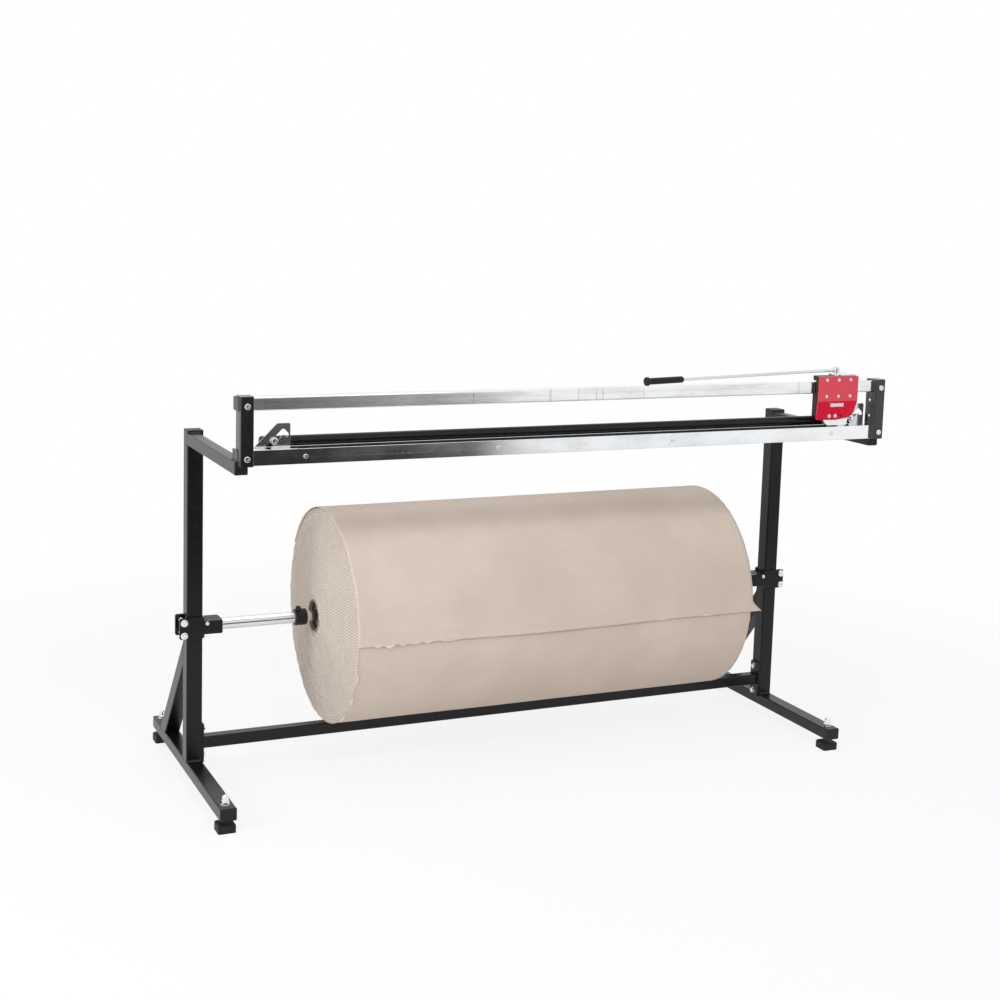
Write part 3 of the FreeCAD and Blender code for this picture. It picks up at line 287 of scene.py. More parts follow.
CAP_PLASTIC = moulded("cap_plastic", grey(0.009), 1300.0, 0.00005, 0.38)
PLUG_PLASTIC = moulded("plug_plastic", grey(0.06, 0.02), 1100.0, 0.00004, 0.40)
HUB_PLASTIC = moulded("hub_plastic", grey(0.05, 0.05), 900.0, 0.00005, 0.36)
STRIP_PLASTIC = moulded("strip_plastic", grey(0.008), 700.0, 0.00004, 0.45)
PAD_RUBBER = moulded("pad_rubber", grey(0.010), 800.0, 0.00009, 0.55, 0.6)
GRIP_RUBBER = moulded("grip_rubber", grey(0.008), 1500.0, 0.00005, 0.36, 0.2)
BAR_COAT = moulded("press_bar_coat", grey(0.006), 600.0, 0.00003, 0.22, 0.15)
COLLAR_BLACK = moulded("collar_black", grey(0.008), 1000.0, 0.00004, 0.34, 0.2)


# %% Milled block
def milled_block():
    made = Finish("milled_black")
    lines = made.noise(1.0, 2.0, 0.6, (1600.0, 60.0, 60.0))
    cloud = made.noise(30.0, 4.0, 0.6)
    rounded = made.soft_edge(0.0010)
    worn = made.edges(rounded)
    block = made.blend(cloud, grey(0.007), grey(0.012))
    made.set(Base_Color=made.blend(worn * 0.4, block, grey(0.07)), Specular_IOR_Level=0.3)
    made.set(Roughness=0.32 + lines * 0.16 + cloud * 0.05, Normal=made.bump(lines, 0.00003, rounded))
    return made.done()


MILLED = milled_block()
print("plastics ready")


# %% [markdown]
# ## Red paint on the carriage cover
# The cover is folded sheet with a wet-sprayed gloss red. It shows a soft peel, a little fading, paler edges
# and a few fine scratches from years of hands. The scratches are thin bands cut out of a stretched noise.

# %% Red paint
def red_paint():
    made = Finish("red_gloss_paint")
    peel = made.noise(260.0, 2.0, 0.4)
    fade = made.noise(18.0, 4.0, 0.6)
    scratch = made.noise(1.0, 2.0, 0.5, (90.0, 90.0, 1400.0)).part(0.66, 0.70)
    rounded = made.soft_edge(0.0009)
    worn = made.edges(rounded)
    paint = made.blend(fade, rgb(216, 14, 52), rgb(228, 20, 58))
    marked = made.blend(scratch * 0.12, paint, rgb(222, 110, 120))
    made.set(Base_Color=made.blend(worn * 0.3, marked, rgb(226, 100, 112)))
    made.set(Roughness=0.16 + peel * 0.05 + scratch * 0.15 + worn * 0.1)
    made.set(Normal=made.bump(peel, 0.00004, rounded), Coat_Weight=0.8, Coat_Roughness=0.06)
    return made.done()


RED_PAINT = red_paint()


# %% [markdown]
# ## Bare label plate
# The cover carries a small plate of brushed aluminium. It is left bare here, so only the brushing and a
# little staining show. Anodised plate is pale and only half mirror-like, hence the low metal share.

# %% Bare label plate
def label_metal():
    made = Finish("bare_label_plate")
    brushed = made.noise(1.0, 3.0, 0.6, (40.0, 2200.0, 2200.0))
    stain = made.noise(120.0, 4.0, 0.6).part(0.5, 0.7)
    made.set(Base_Color=made.blend(stain * 0.4, grey(0.86), grey(0.66)), Metallic=0.35)
    made.set(Roughness=0.26 + brushed * 0.2 + stain * 0.1, Normal=made.bump(brushed, 0.00001))
    return made.done()


LABEL_METAL = label_metal()
print("paint ready")

# %% [markdown]
# ## Kraft paper
# The roll is single-faced corrugated paper: a smooth liner outside and flutes inside. The liner has a
# pinkish kraft colour with long fibres, cloudy where the sheet is thicker, and the flutes show through
# as faint lines along the roll. At the ends the cut laps are fuzzy and paler on their edges. The end is
# coloured by how far out and how far round a point is, so the same few sums give liner, flute and gap.
# The gaps carry a painted shade: a dark brown that stands in for the shade inside the flute holes.

# %% Liner, seen on the outside of the roll
def kraft_liner():
    made = Finish("kraft_liner")
    cloud = made.noise(5.0, 5.0, 0.6)
    fibre = made.noise(1.0, 4.0, 0.7, (260.0, 900.0, 900.0))
    fleck = made.noise(420.0, 2.0, 0.6).part(0.66, 0.74)
    flute = made.noise(1.0, 1.0, 0.4, (3.0, 260.0, 260.0))
    base = made.blend(cloud.part(0.3, 0.7), rgb(207, 191, 178), rgb(216, 201, 188))
    fibred = made.blend(fibre.part(0.45, 0.75) * 0.35, base, rgb(200, 182, 168))
    made.set(Base_Color=made.blend(fleck * 0.35, fibred, rgb(168, 146, 130)))
    made.set(Roughness=0.78 + fibre * 0.14, Specular_IOR_Level=0.25)
    made.set(Normal=made.bump(fibre, 0.00009, made.bump(flute, 0.00035)))
    return made.done()


# %% Cut laps, seen at the ends of the roll
shaft_low, shaft_high = box_of("roll_shaft")
core_low, core_high = box_of("roll_core")
SHAFT_LINE = Vector((0.0, (shaft_low.y + shaft_high.y) / 2, (shaft_low.z + shaft_high.z) / 2))
CORE_RADIUS = (core_high.z - core_low.z) / 2
LAP_PITCH = 0.0038
FLUTE = 0.0074


def kraft_laps():
    made = Finish("kraft_cut_laps")
    where = made.node("ShaderNodeTexCoord", out="Object")
    apart = made.node("ShaderNodeVectorMath", {"operation": "SUBTRACT"}, {0: where, 1: tuple(SHAFT_LINE)})
    flat = made.node("ShaderNodeVectorMath", {"operation": "MULTIPLY"}, {0: apart, 1: (0.0, 1.0, 1.0)})
    radius = made.node("ShaderNodeVectorMath", {"operation": "LENGTH"}, {0: flat}, out="Value")
    front = -1.0 * made.node("ShaderNodeSeparateXYZ", None, {0: apart}, out="Y")
    height = made.node("ShaderNodeSeparateXYZ", None, {0: apart}, out="Z")
    turn = height.maths("ARCTAN2", front) / (2 * math.pi)
    phase = ((radius - CORE_RADIUS) / LAP_PITCH - turn).maths("FRACT")
    wave = (turn * radius * (4 * math.pi ** 2 / FLUTE)).maths("SINE") * 0.28 + 0.55
    on_wave = 1 - (phase - wave).maths("ABSOLUTE").part(0.07, 0.22)
    on_liner = 1 - phase.maths("MINIMUM", 1 - phase).part(0.05, 0.15)
    paper = on_wave.maths("MAXIMUM", on_liner)
    band = made.noise(1.0, 3.0, 0.6, (40.0, 22.0, 22.0))
    fuzz = made.noise(700.0, 3.0, 0.7)
    # Painted shade: the gaps between liner and flute get a dark brown that stands in for the shade inside the
    # flute holes.
    shadow = made.blend(paper, rgb(140, 118, 102), rgb(252, 243, 234))
    toned = made.blend(band.part(0.45, 0.68) * 0.25, shadow, rgb(186, 164, 146))
    made.set(Base_Color=made.blend(fuzz.part(0.5, 0.8) * 0.3, toned, rgb(238, 230, 222)))
    made.set(Roughness=0.86 + fuzz * 0.1, Specular_IOR_Level=0.2)
    made.set(Normal=made.bump(fuzz + paper, 0.0003))
    return made.done()


def torn_ply():
    made = Finish("torn_inner_ply")
    fuzz = made.noise(900.0, 4.0, 0.7)
    made.set(Base_Color=made.blend(fuzz.part(0.4, 0.7), rgb(222, 208, 196), rgb(246, 240, 234)))
    made.set(Roughness=0.9, Specular_IOR_Level=0.15, Normal=made.bump(fuzz, 0.0004))
    return made.done()


LINER = kraft_liner()
CUT_LAPS = kraft_laps()
TORN_PLY = torn_ply()


# %% [markdown]
# ## The core
# The core is a thick tube of grey-brown board, wound on the slant from narrow strips. The seams between
# the strips show as thin darker bands, made with a slanted wave.

# %% Core board
def core_board():
    made = Finish("core_board")
    wind = made.node("ShaderNodeTexWave", {"wave_type": "BANDS", "bands_direction": "DIAGONAL"},
                     {"Vector": made.place(), "Scale": 9.0, "Distortion": 0.4})
    fibre = made.noise(500.0, 3.0, 0.7)
    base = made.blend(wind.part(0.86, 0.98) * 0.6, rgb(158, 134, 114), rgb(116, 94, 76))
    made.set(Base_Color=made.blend(fibre.part(0.5, 0.8) * 0.4, base, rgb(186, 164, 146)))
    made.set(Roughness=0.8 + fibre * 0.1, Specular_IOR_Level=0.2, Normal=made.bump(fibre, 0.0002))
    return made.done()


CORE_BOARD = core_board()
print("paper finishes ready")

# %% [markdown]
# ## Give each measured piece its finish
# The nodes keep their shape. Their plain materials are swapped for the finishes above, by name.

# %% Finishes by node
FINISHES = {
    "left_post": FRAME_PAINT, "right_post": FRAME_PAINT, "left_foot_tube": FRAME_PAINT,
    "right_foot_tube": FRAME_PAINT, "left_brace": FRAME_PAINT, "right_brace": FRAME_PAINT,
    "left_arm": FRAME_PAINT, "right_arm": FRAME_PAINT, "crossbar": FRAME_PAINT,
    "left_clamp_plates": FRAME_PAINT, "right_clamp_plates": FRAME_PAINT,
    "left_end_bracket": BRACKET_PAINT, "right_end_bracket": BRACKET_PAINT,
    "left_shaft_jaws": MILLED, "right_shaft_jaws": MILLED, "carriage_housing": MILLED,
    "post_caps": CAP_PLASTIC, "foot_caps": CAP_PLASTIC, "arm_caps": CAP_PLASTIC,
    "rail_plugs": PLUG_PLASTIC, "core_hubs": HUB_PLASTIC, "cutting_strip": STRIP_PLASTIC,
    "foot_pads": PAD_RUBBER, "lever_grip": GRIP_RUBBER, "press_bar": BAR_COAT,
    "top_rail": TOP_RAIL_STEEL, "bottom_rail": RAIL_STEEL, "cutting_bar": RAIL_STEEL,
    "roll_shaft": ROD_STEEL, "lever_rod": ROD_STEEL,
    "left_hook_plate": ZINC, "right_hook_plate": ZINC, "rear_keeper": ZINC, "foot_studs": ZINC,
    "crossbar_bolts": ZINC, "wheel_guard": BRIGHT, "cutting_wheel": BRIGHT,
    "left_collar": COLLAR_BLACK, "right_collar": COLLAR_BLACK,
    "left_collar_screw": COLLAR_BLACK, "right_collar_screw": COLLAR_BLACK,
    "foot_nuts": BRIGHT, "clamp_bolts": BRIGHT, "jaw_bolts": BRIGHT, "bracket_screws": BRIGHT,
    "bracket_side_screws": BRIGHT, "cutting_bar_screws": BRIGHT, "hook_bolts": BRIGHT,
    "cover_screws": BRIGHT, "lower_screws": BRIGHT, "lever_post": BRIGHT,
    "upper_roller_left": ZINC, "upper_roller_right": ZINC, "lower_roller_left": ZINC,
    "lower_roller_right": ZINC, "carriage_cover": RED_PAINT, "label_plate": LABEL_METAL,
    "roll_core": CORE_BOARD, "paper_roll": LINER, "paper_lap": LINER,
}


def dress(node, material):
    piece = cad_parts[node]
    for place in piece.material_slots:
        place.material = material
    if not piece.material_slots:
        piece.data.materials.append(material)


for node_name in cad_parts:
    dress(node_name, FINISHES[node_name])
print("dressed", len(FINISHES), "nodes")

# %% [markdown]
# ## The wound paper
# One sheet is wound round the core about sixty times, so its end is a spiral, not a stack of rings. The
# laps were never quite level: the inner ones slid a little to the left, and each one stands out or sinks
# by up to a couple of millimetres. A grid that follows the spiral gives each lap a ridge of its own. The
# grid's last column meets its first one lap further out, which is what makes it a true spiral.

# %% Mesh helper
def new_piece(name, points, faces, material, body, slot_name, smooth=True):
    """Makes an object from points and faces, and hangs it on a body."""
    data = bpy.data.meshes.new(name)
    data.from_pydata([tuple(p) for p in points], [], faces)
    data.update()
    for face in data.polygons:
        face.use_smooth = smooth
    data.materials.append(material)
    piece = bpy.data.objects.new(name, data)
    bpy.context.scene.collection.objects.link(piece)
    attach(piece, body)
    return piece


def wobble(x, y, z, scale, seed=0.0):
    """Smooth noise from -1 to 1."""
    return noise.noise(Vector((x * scale + seed, y * scale - seed, z * scale + 2 * seed)))


def round_shaft(x, radius, angle):
    """A point round the shaft; the angle is nought at the front and grows upwards."""
    return Vector((x, SHAFT_LINE.y - radius * math.cos(angle), SHAFT_LINE.z + radius * math.sin(angle)))


# %% Sizes of the roll, read from the frame
roll_low, roll_high = box_of("paper_roll")
ROLL_RADIUS = (roll_high.z - roll_low.z) / 2
RIM_RIGHT = roll_high.x
CORE_LEFT = roll_low.x
SLIP = core_high.x - RIM_RIGHT
RIM_LEFT = CORE_LEFT - SLIP
LAPS = int((ROLL_RADIUS - CORE_RADIUS) / LAP_PITCH)
ROUND = 288
LAP_ROWS = (0.0, 0.0006, 0.0004)
PER_LAP = len(LAP_ROWS)
END_INSET = 0.0018
print("roll", round(2 * ROLL_RADIUS, 3), "m across,", LAPS, "laps, slip", round(SLIP, 3))


def lap_offset(lap, angle):
    """How far one lap stands out of the end of the roll."""
    own = noise.cell(Vector((lap * 1.7 + 0.3, 4.1, 0.5)))
    slow = wobble(math.cos(angle), math.sin(angle), lap * 0.16, 1.4, 3.0)
    fast = wobble(math.cos(angle), math.sin(angle), lap * 0.9, 5.0, 9.0)
    return (own - 0.5) * 0.0008 + slow * 0.0009 + fast * 0.0004


# %% One end of the roll
def roll_end(rim_x, outward):
    """Grid of the spiral end; outward is -1 for the left end and 1 for the right."""
    points, faces = [], []
    rows = (LAPS + 1) * PER_LAP + 1
    for row in range(rows):
        for step in range(ROUND):
            turn = step / ROUND
            angle = 2 * math.pi * turn
            laps_out = row / PER_LAP + turn - 1
            radius = min(max(CORE_RADIUS + laps_out * LAP_PITCH, CORE_RADIUS), ROLL_RADIUS - 0.0004)
            share = (ROLL_RADIUS - radius) / (ROLL_RADIUS - CORE_RADIUS)
            out = lap_offset(row // PER_LAP + turn * 0.999, angle) + LAP_ROWS[row % PER_LAP]
            edge = min(1.0, (ROLL_RADIUS - radius) / 0.004)
            x = rim_x + SLIP * share + outward * (out * edge - END_INSET)
            points.append(round_shaft(x, radius, angle))
    for row in range(rows - 1):
        for step in range(ROUND - 1):
            a = row * ROUND + step
            faces.append((a, a + 1, a + ROUND + 1, a + ROUND))
        if row + 1 + PER_LAP < rows:
            last = row * ROUND + ROUND - 1
            first = (row + PER_LAP) * ROUND
            faces.append((last, first, first + ROUND, last + ROUND))
    if outward < 0:
        faces = [tuple(reversed(face)) for face in faces]
    return points, faces


# %% The outside of the roll
def roll_skin():
    points, faces = [], []
    spans = 72
    for column in range(spans + 1):
        share = column / spans
        for step in range(ROUND):
            angle = 2 * math.pi * step / ROUND
            x = RIM_LEFT + (RIM_RIGHT - RIM_LEFT) * share
            near_rim = min(share, 1 - share) * (RIM_RIGHT - RIM_LEFT)
            fray = math.exp(-near_rim / 0.012)
            dent = wobble(x * 2.2, math.cos(angle), math.sin(angle), 2.3, 1.0)
            ripple = wobble(x * 9.0, math.cos(angle) * 3, math.sin(angle) * 3, 3.0, 7.0)
            radius = ROLL_RADIUS - 0.0007 + 0.0005 * dent - fray * (0.0012 + 0.0012 * abs(ripple))
            jut = 0.0015 * wobble(share, math.cos(angle) * 2, math.sin(angle) * 2, 6.0, 5.0) * fray
            x += jut if share < 0.5 else -jut
            points.append(round_shaft(x, radius, angle))
    for column in range(spans):
        for step in range(ROUND):
            a = column * ROUND + step
            b = column * ROUND + (step + 1) % ROUND
            faces.append((a, a + ROUND, b + ROUND, b))
    return points, faces


skin = new_piece("wound_paper", *roll_skin(), LINER, "roll", "paper")
left_end = new_piece("roll_end_left", *roll_end(RIM_LEFT, -1), CUT_LAPS, "roll", "paper")
right_end = new_piece("roll_end_right", *roll_end(RIM_RIGHT, 1), CUT_LAPS, "roll", "paper")
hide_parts("paper_roll")
print("wound paper has", len(skin.data.polygons) + 2 * len(left_end.data.polygons), "faces")

# %% [markdown]
# ## The loose last lap
# The last lap was torn off by hand. It leaves the roll behind the top and ends in a free edge half way
# down the front, where it stands off a few millimetres, waves, has nicks in it and runs out into a point
# at the right. It is a grid over the roll with a real thickness, and its far end dips under the outside of
# the roll, where the real sheet simply goes on as the next lap.

# %% The sheet
LEAVES_AT = math.radians(149.0)
FREE_EDGE_AT = math.radians(-2.4)
POINT_LENGTH = 0.030
EDGE_LIFT = 0.0042
TUCKED_ROWS, TUCK = 8, 0.0034


def lap_edge(share):
    """How far round the free edge is at a place along the roll, in radians from straight ahead."""
    wave = 0.010 * math.sin(share * 9.0 + 0.6) + 0.006 * wobble(share, 0.2, 0.1, 9.0, 2.0)
    nick = 0.004 * wobble(share, 0.7, 0.4, 60.0, 4.0)
    return FREE_EDGE_AT + wave * 0.5 + nick


def loose_lap():
    low, high = box_of("paper_lap")
    left = low.x + 0.001
    tip = high.x - 0.001
    rim = RIM_RIGHT + 0.0025
    across, along = 150, 110
    points, faces = [], []
    for row in range(along + 1):
        for column in range(across + 1):
            share = column / across
            start = lap_edge(share)
            angle = start + (LEAVES_AT - start) * (row / along) ** 1.5
            depth = ROLL_RADIUS * (angle - start)
            point_out = max(0.0, 1 - depth / POINT_LENGTH)
            right = rim + (tip - rim) * point_out ** 1.4
            x = left + (right - left) * share
            x += 0.0012 * wobble(depth, share, 0.3, 40.0, 6.0) * (abs(share - 0.5) * 2) ** 8
            bow = 0.6 + 0.8 * math.sin(math.pi * min(1.0, share * 1.15)) ** 2
            lift = EDGE_LIFT * bow * math.exp(-depth / 0.026) + 0.0006
            lift += 0.0012 * wobble(x, depth, 0.5, 7.0, 8.0) * math.exp(-depth / 0.05)
            crease = 0.0011 * math.exp(-((depth - 0.030 + 0.012 * share) / 0.0032) ** 2)
            lift += crease * (1 if share < 0.36 else max(0.0, 1 - (share - 0.36) * 12))
            tuck = TUCK * max(0.0, 1 - (along - row) / TUCKED_ROWS)
            radius = ROLL_RADIUS + 0.0004 + max(lift, 0.0002) - tuck
            points.append(round_shaft(x, radius, angle))
    for row in range(along):
        for column in range(across):
            a = row * (across + 1) + column
            faces.append((a, a + 1, a + across + 2, a + across + 1))
    return points, faces


lap = new_piece("loose_lap", *loose_lap(), LINER, "roll", "paper")
thick = lap.modifiers.new("thickness", "SOLIDIFY")
thick.thickness = 0.0011
thick.offset = 1.0
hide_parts("paper_lap")
print("loose lap reaches x", round(max(v.co.x for v in lap.data.vertices), 4))


# %% [markdown]
# ## Torn scraps
# Where the sheet was ripped, thin flakes of the pale inner ply hang from the free edge and from the left
# rim. Each is a small ragged sheet, modelled one by one because they break the clean line of the edge.

# %% Flakes
def flake(name, middle, along, out, length, width, seed):
    """A ragged scrap: along is its long way, out is how its surface faces."""
    along = along.normalized()
    out = out.normalized()
    drop = along.cross(out).normalized()
    rows, columns = 4, 14
    points, faces = [], []
    for row in range(rows + 1):
        for column in range(columns + 1):
            u = column / columns - 0.5
            v = row / rows
            ragged = 0.55 + 0.45 * wobble(u, seed, v, 7.0, seed)
            taper = max(0.05, 1 - (2 * abs(u)) ** 2.5)
            curl = 0.0018 * v * v + 0.0006 * wobble(u, v, seed, 6.0, seed)
            points.append(middle + along * (u * length) + drop * (v * width * taper * ragged) + out * curl)
    for row in range(rows):
        for column in range(columns):
            a = row * (columns + 1) + column
            faces.append((a, a + 1, a + columns + 2, a + columns + 1))
    piece = new_piece(name, points, faces, TORN_PLY, "roll", "paper")
    body = piece.modifiers.new("thickness", "SOLIDIFY")
    body.thickness = 0.0004
    return piece


# where along the roll, how long and how wide
FLAKES = [(-0.46, 0.020, 0.008), (-0.43, 0.034, 0.014), (-0.395, 0.026, 0.011), (-0.365, 0.030, 0.012),
          (-0.33, 0.022, 0.009), (-0.27, 0.050, 0.008), (-0.15, 0.028, 0.006), (0.02, 0.040, 0.006),
          (0.19, 0.022, 0.005), (0.33, 0.036, 0.005), (0.47, 0.030, 0.005)]
for number, (x, length, width) in enumerate(FLAKES):
    share = (x - RIM_LEFT) / (RIM_RIGHT - RIM_LEFT)
    angle = lap_edge(share) + 0.004
    facing = Vector((0.0, -math.cos(angle), math.sin(angle)))
    hang = round_shaft(x, ROLL_RADIUS + 0.0046, angle + 0.006)
    flake("torn_flake_%d" % number, hang, Vector((1, 0, 0)), facing, length, width, 1.3 + number)
for number, angle in enumerate((-0.35, -0.62, -0.95, 0.5)):
    facing = Vector((-0.35, -math.cos(angle), math.sin(angle)))
    round_way = Vector((0.0, math.sin(angle), math.cos(angle)))
    spot = round_shaft(RIM_LEFT + 0.002, ROLL_RADIUS - 0.0006, angle)
    flake("rim_flake_%d" % number, spot, round_way, facing, 0.030 + 0.006 * number, 0.005, 5.1 + number)
for number, angle in enumerate((-0.55, -0.95, -1.35, -1.8)):
    radius = CORE_RADIUS + 0.007 + 0.004 * (number % 3)
    spot = round_shaft(CORE_LEFT - 0.0004, radius, angle)
    facing = Vector((0.0, -math.cos(angle), math.sin(angle)))
    round_way = Vector((0.0, math.sin(angle), math.cos(angle)))
    flake("core_flake_%d" % number, spot, round_way, facing, 0.022 + 0.005 * number, 0.007, 2.4 + number)
print("torn flakes", len(FLAKES) + 8)


# %% [markdown]
# ## Weld beads
# The stand is welded before it is coated. A bead is a row of overlapping ripples, each a small arc left
# by the torch. Modelled as one swept strip with a ripple in it, it catches the light as the real one does.

# %% Bead along a line
def weld_bead(name, start, end, first_face, second_face, size=0.0035):
    """A rippled bead in the corner between two faces, given by their outward normals."""
    start, end = Vector(start), Vector(end)
    line = end - start
    first_face, second_face = Vector(first_face), Vector(second_face)
    ripples = max(6, int(line.length / 0.0021))
    around = 6
    points, faces = [], []
    for step in range(ripples * 3 + 1):
        share = step / (ripples * 3)
        ripple = 0.86 + 0.14 * abs(math.sin(math.pi * share * ripples))
        fat = size * ripple * (1 + 0.10 * wobble(share * line.length * 60, start.x, start.z, 1.0, 2.0))
        fat *= min(1.0, 0.35 + min(share, 1 - share) * line.length / 0.004)
        centre = start + line * share
        for k in range(around + 1):
            turn = math.pi / 2 * k / around
            bulge = 0.80 + 0.10 * math.sin(2 * turn)
            points.append(centre + first_face * (fat * bulge * math.cos(turn))
                          + second_face * (fat * bulge * math.sin(turn)))
        points.append(centre - first_face * 0.0004 - second_face * 0.0004)
    ring = around + 2
    for step in range(ripples * 3):
        for k in range(ring):
            a = step * ring + k
            b = step * ring + (k + 1) % ring
            faces.append((a, a + ring, b + ring, b))
    faces.append(tuple(range(ring)))
    faces.append(tuple(reversed(range(ripples * 3 * ring, ripples * 3 * ring + ring))))
    return new_piece(name, points, faces, FRAME_PAINT, "stand", "frame_black")


UP, REAR = (0, 0, 1), (0, 1, 0)
rail_back = box_of("bottom_rail")[1].y
for word in ("left", "right"):
    post_low, post_high = box_of(word + "_post")
    arm_low, arm_high = box_of(word + "_arm")
    foot_top = box_of(word + "_foot_tube")[1].z
    brace_back = box_of(word + "_brace")[1].y - 0.001
    start, end = post_low.x + 0.003, post_high.x - 0.003
    for place, back in (("post", post_high.y), ("brace", brace_back)):
        name = word + "_bead_" + place + "_back"
        weld_bead(name, (start, back, foot_top), (end, back, foot_top), UP, REAR)
    start, end, top = arm_low.x + 0.003, arm_low.x + 0.027, arm_high.z - 0.004
    weld_bead(word + "_bead_arm_rail", (start, rail_back, top), (end, rail_back, top), UP, REAR, 0.0030)
    print(word, "post, brace and arm have their beads")

# %% [markdown]
# ## Floor, backdrop and the card that darkens the metal
# The photograph was taken on seamless white. The floor is pale and keeps a soft shadow. To the left of
# the camera the studio was dark, which is why the rails are black at their left end and white at their
# right. A card that only reflections can see does that here: it stands in front, dark at the left and
# white at the right. A second card lies on the floor before it, and keeps the lower faces dark.

# %% Floor
def stage_plane(name, corners, material):
    data = bpy.data.meshes.new(name)
    data.from_pydata(corners, [], [(0, 1, 2, 3)])
    data.materials.append(material)
    piece = bpy.data.objects.new(name, data)
    bpy.context.scene.collection.objects.link(piece)
    return piece


def floor_finish():
    made = Finish("pale_floor")
    grain = made.noise(3.0, 3.0, 0.5)
    made.set(Base_Color=made.blend(grain, grey(0.90), grey(0.93)), Roughness=0.9, Specular_IOR_Level=0.0)
    where = made.node("ShaderNodeTexCoord", out="Object")
    away = made.node("ShaderNodeVectorMath", {"operation": "LENGTH"}, {0: where}, out="Value")
    share = made.mirror_rays() * (0.84 + away.part(1.2, 3.0) * 0.16)
    glow = made.node("ShaderNodeEmission", None, {"Color": grey(1.0), "Strength": 1.0})
    return made.done(made.node("ShaderNodeMixShader", None, {0: share, 1: made.surface, 2: glow}))


WIDE = 14.0
stage_plane("floor", [(-WIDE, -WIDE, 0), (WIDE, -WIDE, 0), (WIDE, WIDE, 0), (-WIDE, WIDE, 0)], floor_finish())


# %% Card
EYE = Vector((-1.7749, -3.6163, 1.4725))
RAIL_FACE = box_of("top_rail")[0].y
EYE_BEHIND = 2 * RAIL_FACE - EYE.y


def card_finish():
    """Dark up to what the rails mirror a third of the way along, then white."""
    made = Finish("reflected_card")
    where = made.node("ShaderNodeTexCoord", out="Object")
    across = made.node("ShaderNodeSeparateXYZ", None, {0: where}, out="X")
    deep = made.node("ShaderNodeSeparateXYZ", None, {0: where}, out="Y")
    height = made.node("ShaderNodeSeparateXYZ", None, {0: where}, out="Z")
    place = (across - EYE.x) / (EYE_BEHIND - deep)
    light = place.part(0.451, 0.489) * (1 - deep.part(-4.6, -3.4))
    upper = height.part(0.20, 0.35) * (0.19 + place.part(0.28, 0.46) * 0.36)
    haze = upper + place.part(0.30, 0.46) * 0.012 + 0.010
    seen = light * 0.97 + (1 - light) * haze
    made.set(Base_Color=grey(0.0), Specular_IOR_Level=0.0, Roughness=1.0)
    made.set(Emission_Color=made.blend(seen, grey(0.0), grey(1.0)), Emission_Strength=1.0)
    return made.done()


def hidden_card(name, corners):
    card = stage_plane(name, corners, CARD_FINISH)
    card.visible_camera = False
    card.visible_diffuse = False
    card.visible_shadow = False
    card.visible_transmission = False


CARD_FINISH = card_finish()
LEFT, MIDDLE, RIGHT, FAR, NEAR, LOW = -0.9, 2.9, 5.5, -4.9, -1.7, 0.003
hidden_card("standing_card", [(LEFT, FAR, 0), (RIGHT, FAR, 0), (RIGHT, FAR, 1.5), (LEFT, FAR, 1.5)])
hidden_card("lying_card", [(LEFT, FAR, LOW), (MIDDLE, FAR, LOW), (MIDDLE, NEAR, LOW), (LEFT, NEAR, LOW)])
print("stage ready")


# %% [markdown]
# ## Light
# Four lamps: a small key lamp high in front, a wide one above, a big one at the left and a weak one at the
# right. The world is an even grey for plain light, and white for what the camera sees by itself, in a gloss
# or through something.

# %% World
bpy.context.scene.world = bpy.data.worlds.new("studio")
sky = Tree(bpy.context.scene.world)
plain = sky.node("ShaderNodeBackground", None, {"Color": grey(1.0), "Strength": 0.48})
white = sky.node("ShaderNodeBackground", None, {"Color": grey(1.0), "Strength": 1.0})
through = sky.node("ShaderNodeLightPath", out="Is Transmission Ray")
seen = sky.mirror_rays().maths("MAXIMUM", through)
chosen = sky.node("ShaderNodeMixShader", None, {0: seen, 1: plain, 2: white})
sky.node("ShaderNodeOutputWorld", None, {"Surface": chosen})
print("world ready")


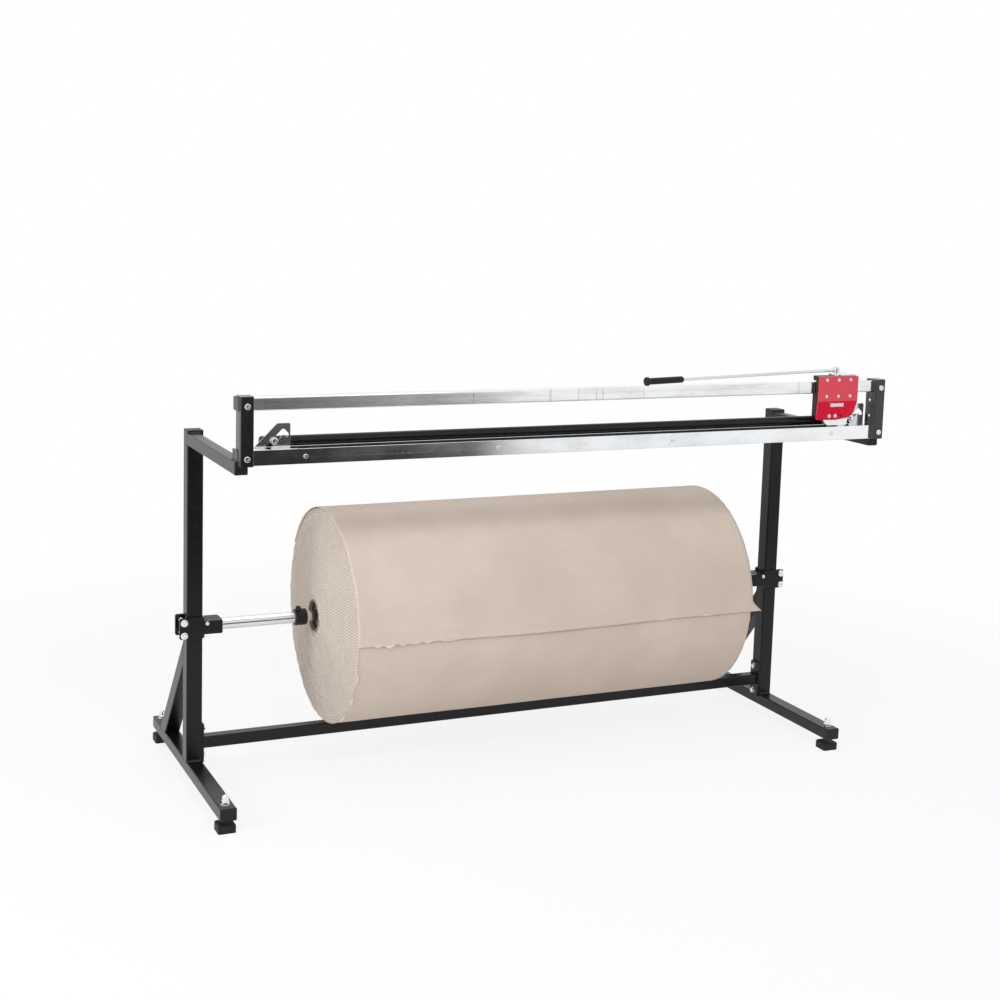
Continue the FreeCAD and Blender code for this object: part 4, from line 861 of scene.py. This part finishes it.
# %% Lamps
def soft_lamp(name, place, aim, size, power, in_reflections):
    data = bpy.data.lights.new(name, "AREA")
    data.shape = "RECTANGLE"
    data.size, data.size_y = size
    data.energy = power
    lamp = bpy.data.objects.new(name, data)
    lamp.location = place
    lamp.rotation_euler = (Vector(aim) - Vector(place)).to_track_quat("-Z", "Y").to_euler()
    lamp.visible_glossy = in_reflections
    bpy.context.scene.collection.objects.link(lamp)


middle = Vector((0.0, 0.0, 0.5))
soft_lamp("key_softbox", (-0.6, -3.6, 3.3), middle, (0.5, 0.5), 42, False)
soft_lamp("top_softbox", (-0.3, 0.0, 3.4), middle, (3.0, 2.0), 18, True)
soft_lamp("left_softbox", (-3.8, -1.2, 1.6), middle, (2.0, 2.0), 80, False)
soft_lamp("right_softbox", (3.8, -0.6, 1.4), middle, (1.6, 1.6), 14, False)
print("lamps ready")

# %% [markdown]
# ## Camera
# The place, aim and lens were solved from some sixty measured points of the photograph. The picture was
# cropped off centre, which a small lens shift puts back. EYE, used for the card too, is the camera's place.

# %% Camera
TURN, TILT, ROLL = 23.288, -7.320, 1.440
FOCAL_PIXELS, PICTURE_PIXELS = 1576.2, 1000
turn, tilt, lean = math.radians(TURN), math.radians(TILT), math.radians(ROLL)
ahead = Vector((math.sin(turn) * math.cos(tilt), math.cos(turn) * math.cos(tilt), math.sin(tilt)))
level = Vector((math.cos(turn), -math.sin(turn), 0.0))
upright = level.cross(ahead)
right = level * math.cos(lean) + upright * math.sin(lean)
head = upright * math.cos(lean) - level * math.sin(lean)
camera_data = bpy.data.cameras.new("photo_camera")
camera_data.sensor_width = 36.0
camera_data.lens = FOCAL_PIXELS / PICTURE_PIXELS * camera_data.sensor_width
camera_data.shift_x = 0.050
camera_data.shift_y = -0.100
camera_data.clip_end = 60.0
camera = bpy.data.objects.new("photo_camera", camera_data)
spin = Matrix((right, head, -ahead)).transposed()
camera.matrix_world = Matrix.Translation(EYE) @ spin.to_4x4()
bpy.context.scene.collection.objects.link(camera)
bpy.context.scene.camera = camera
bpy.context.scene.view_settings.view_transform = "Standard"
print("camera lens", round(camera_data.lens, 1), "mm")
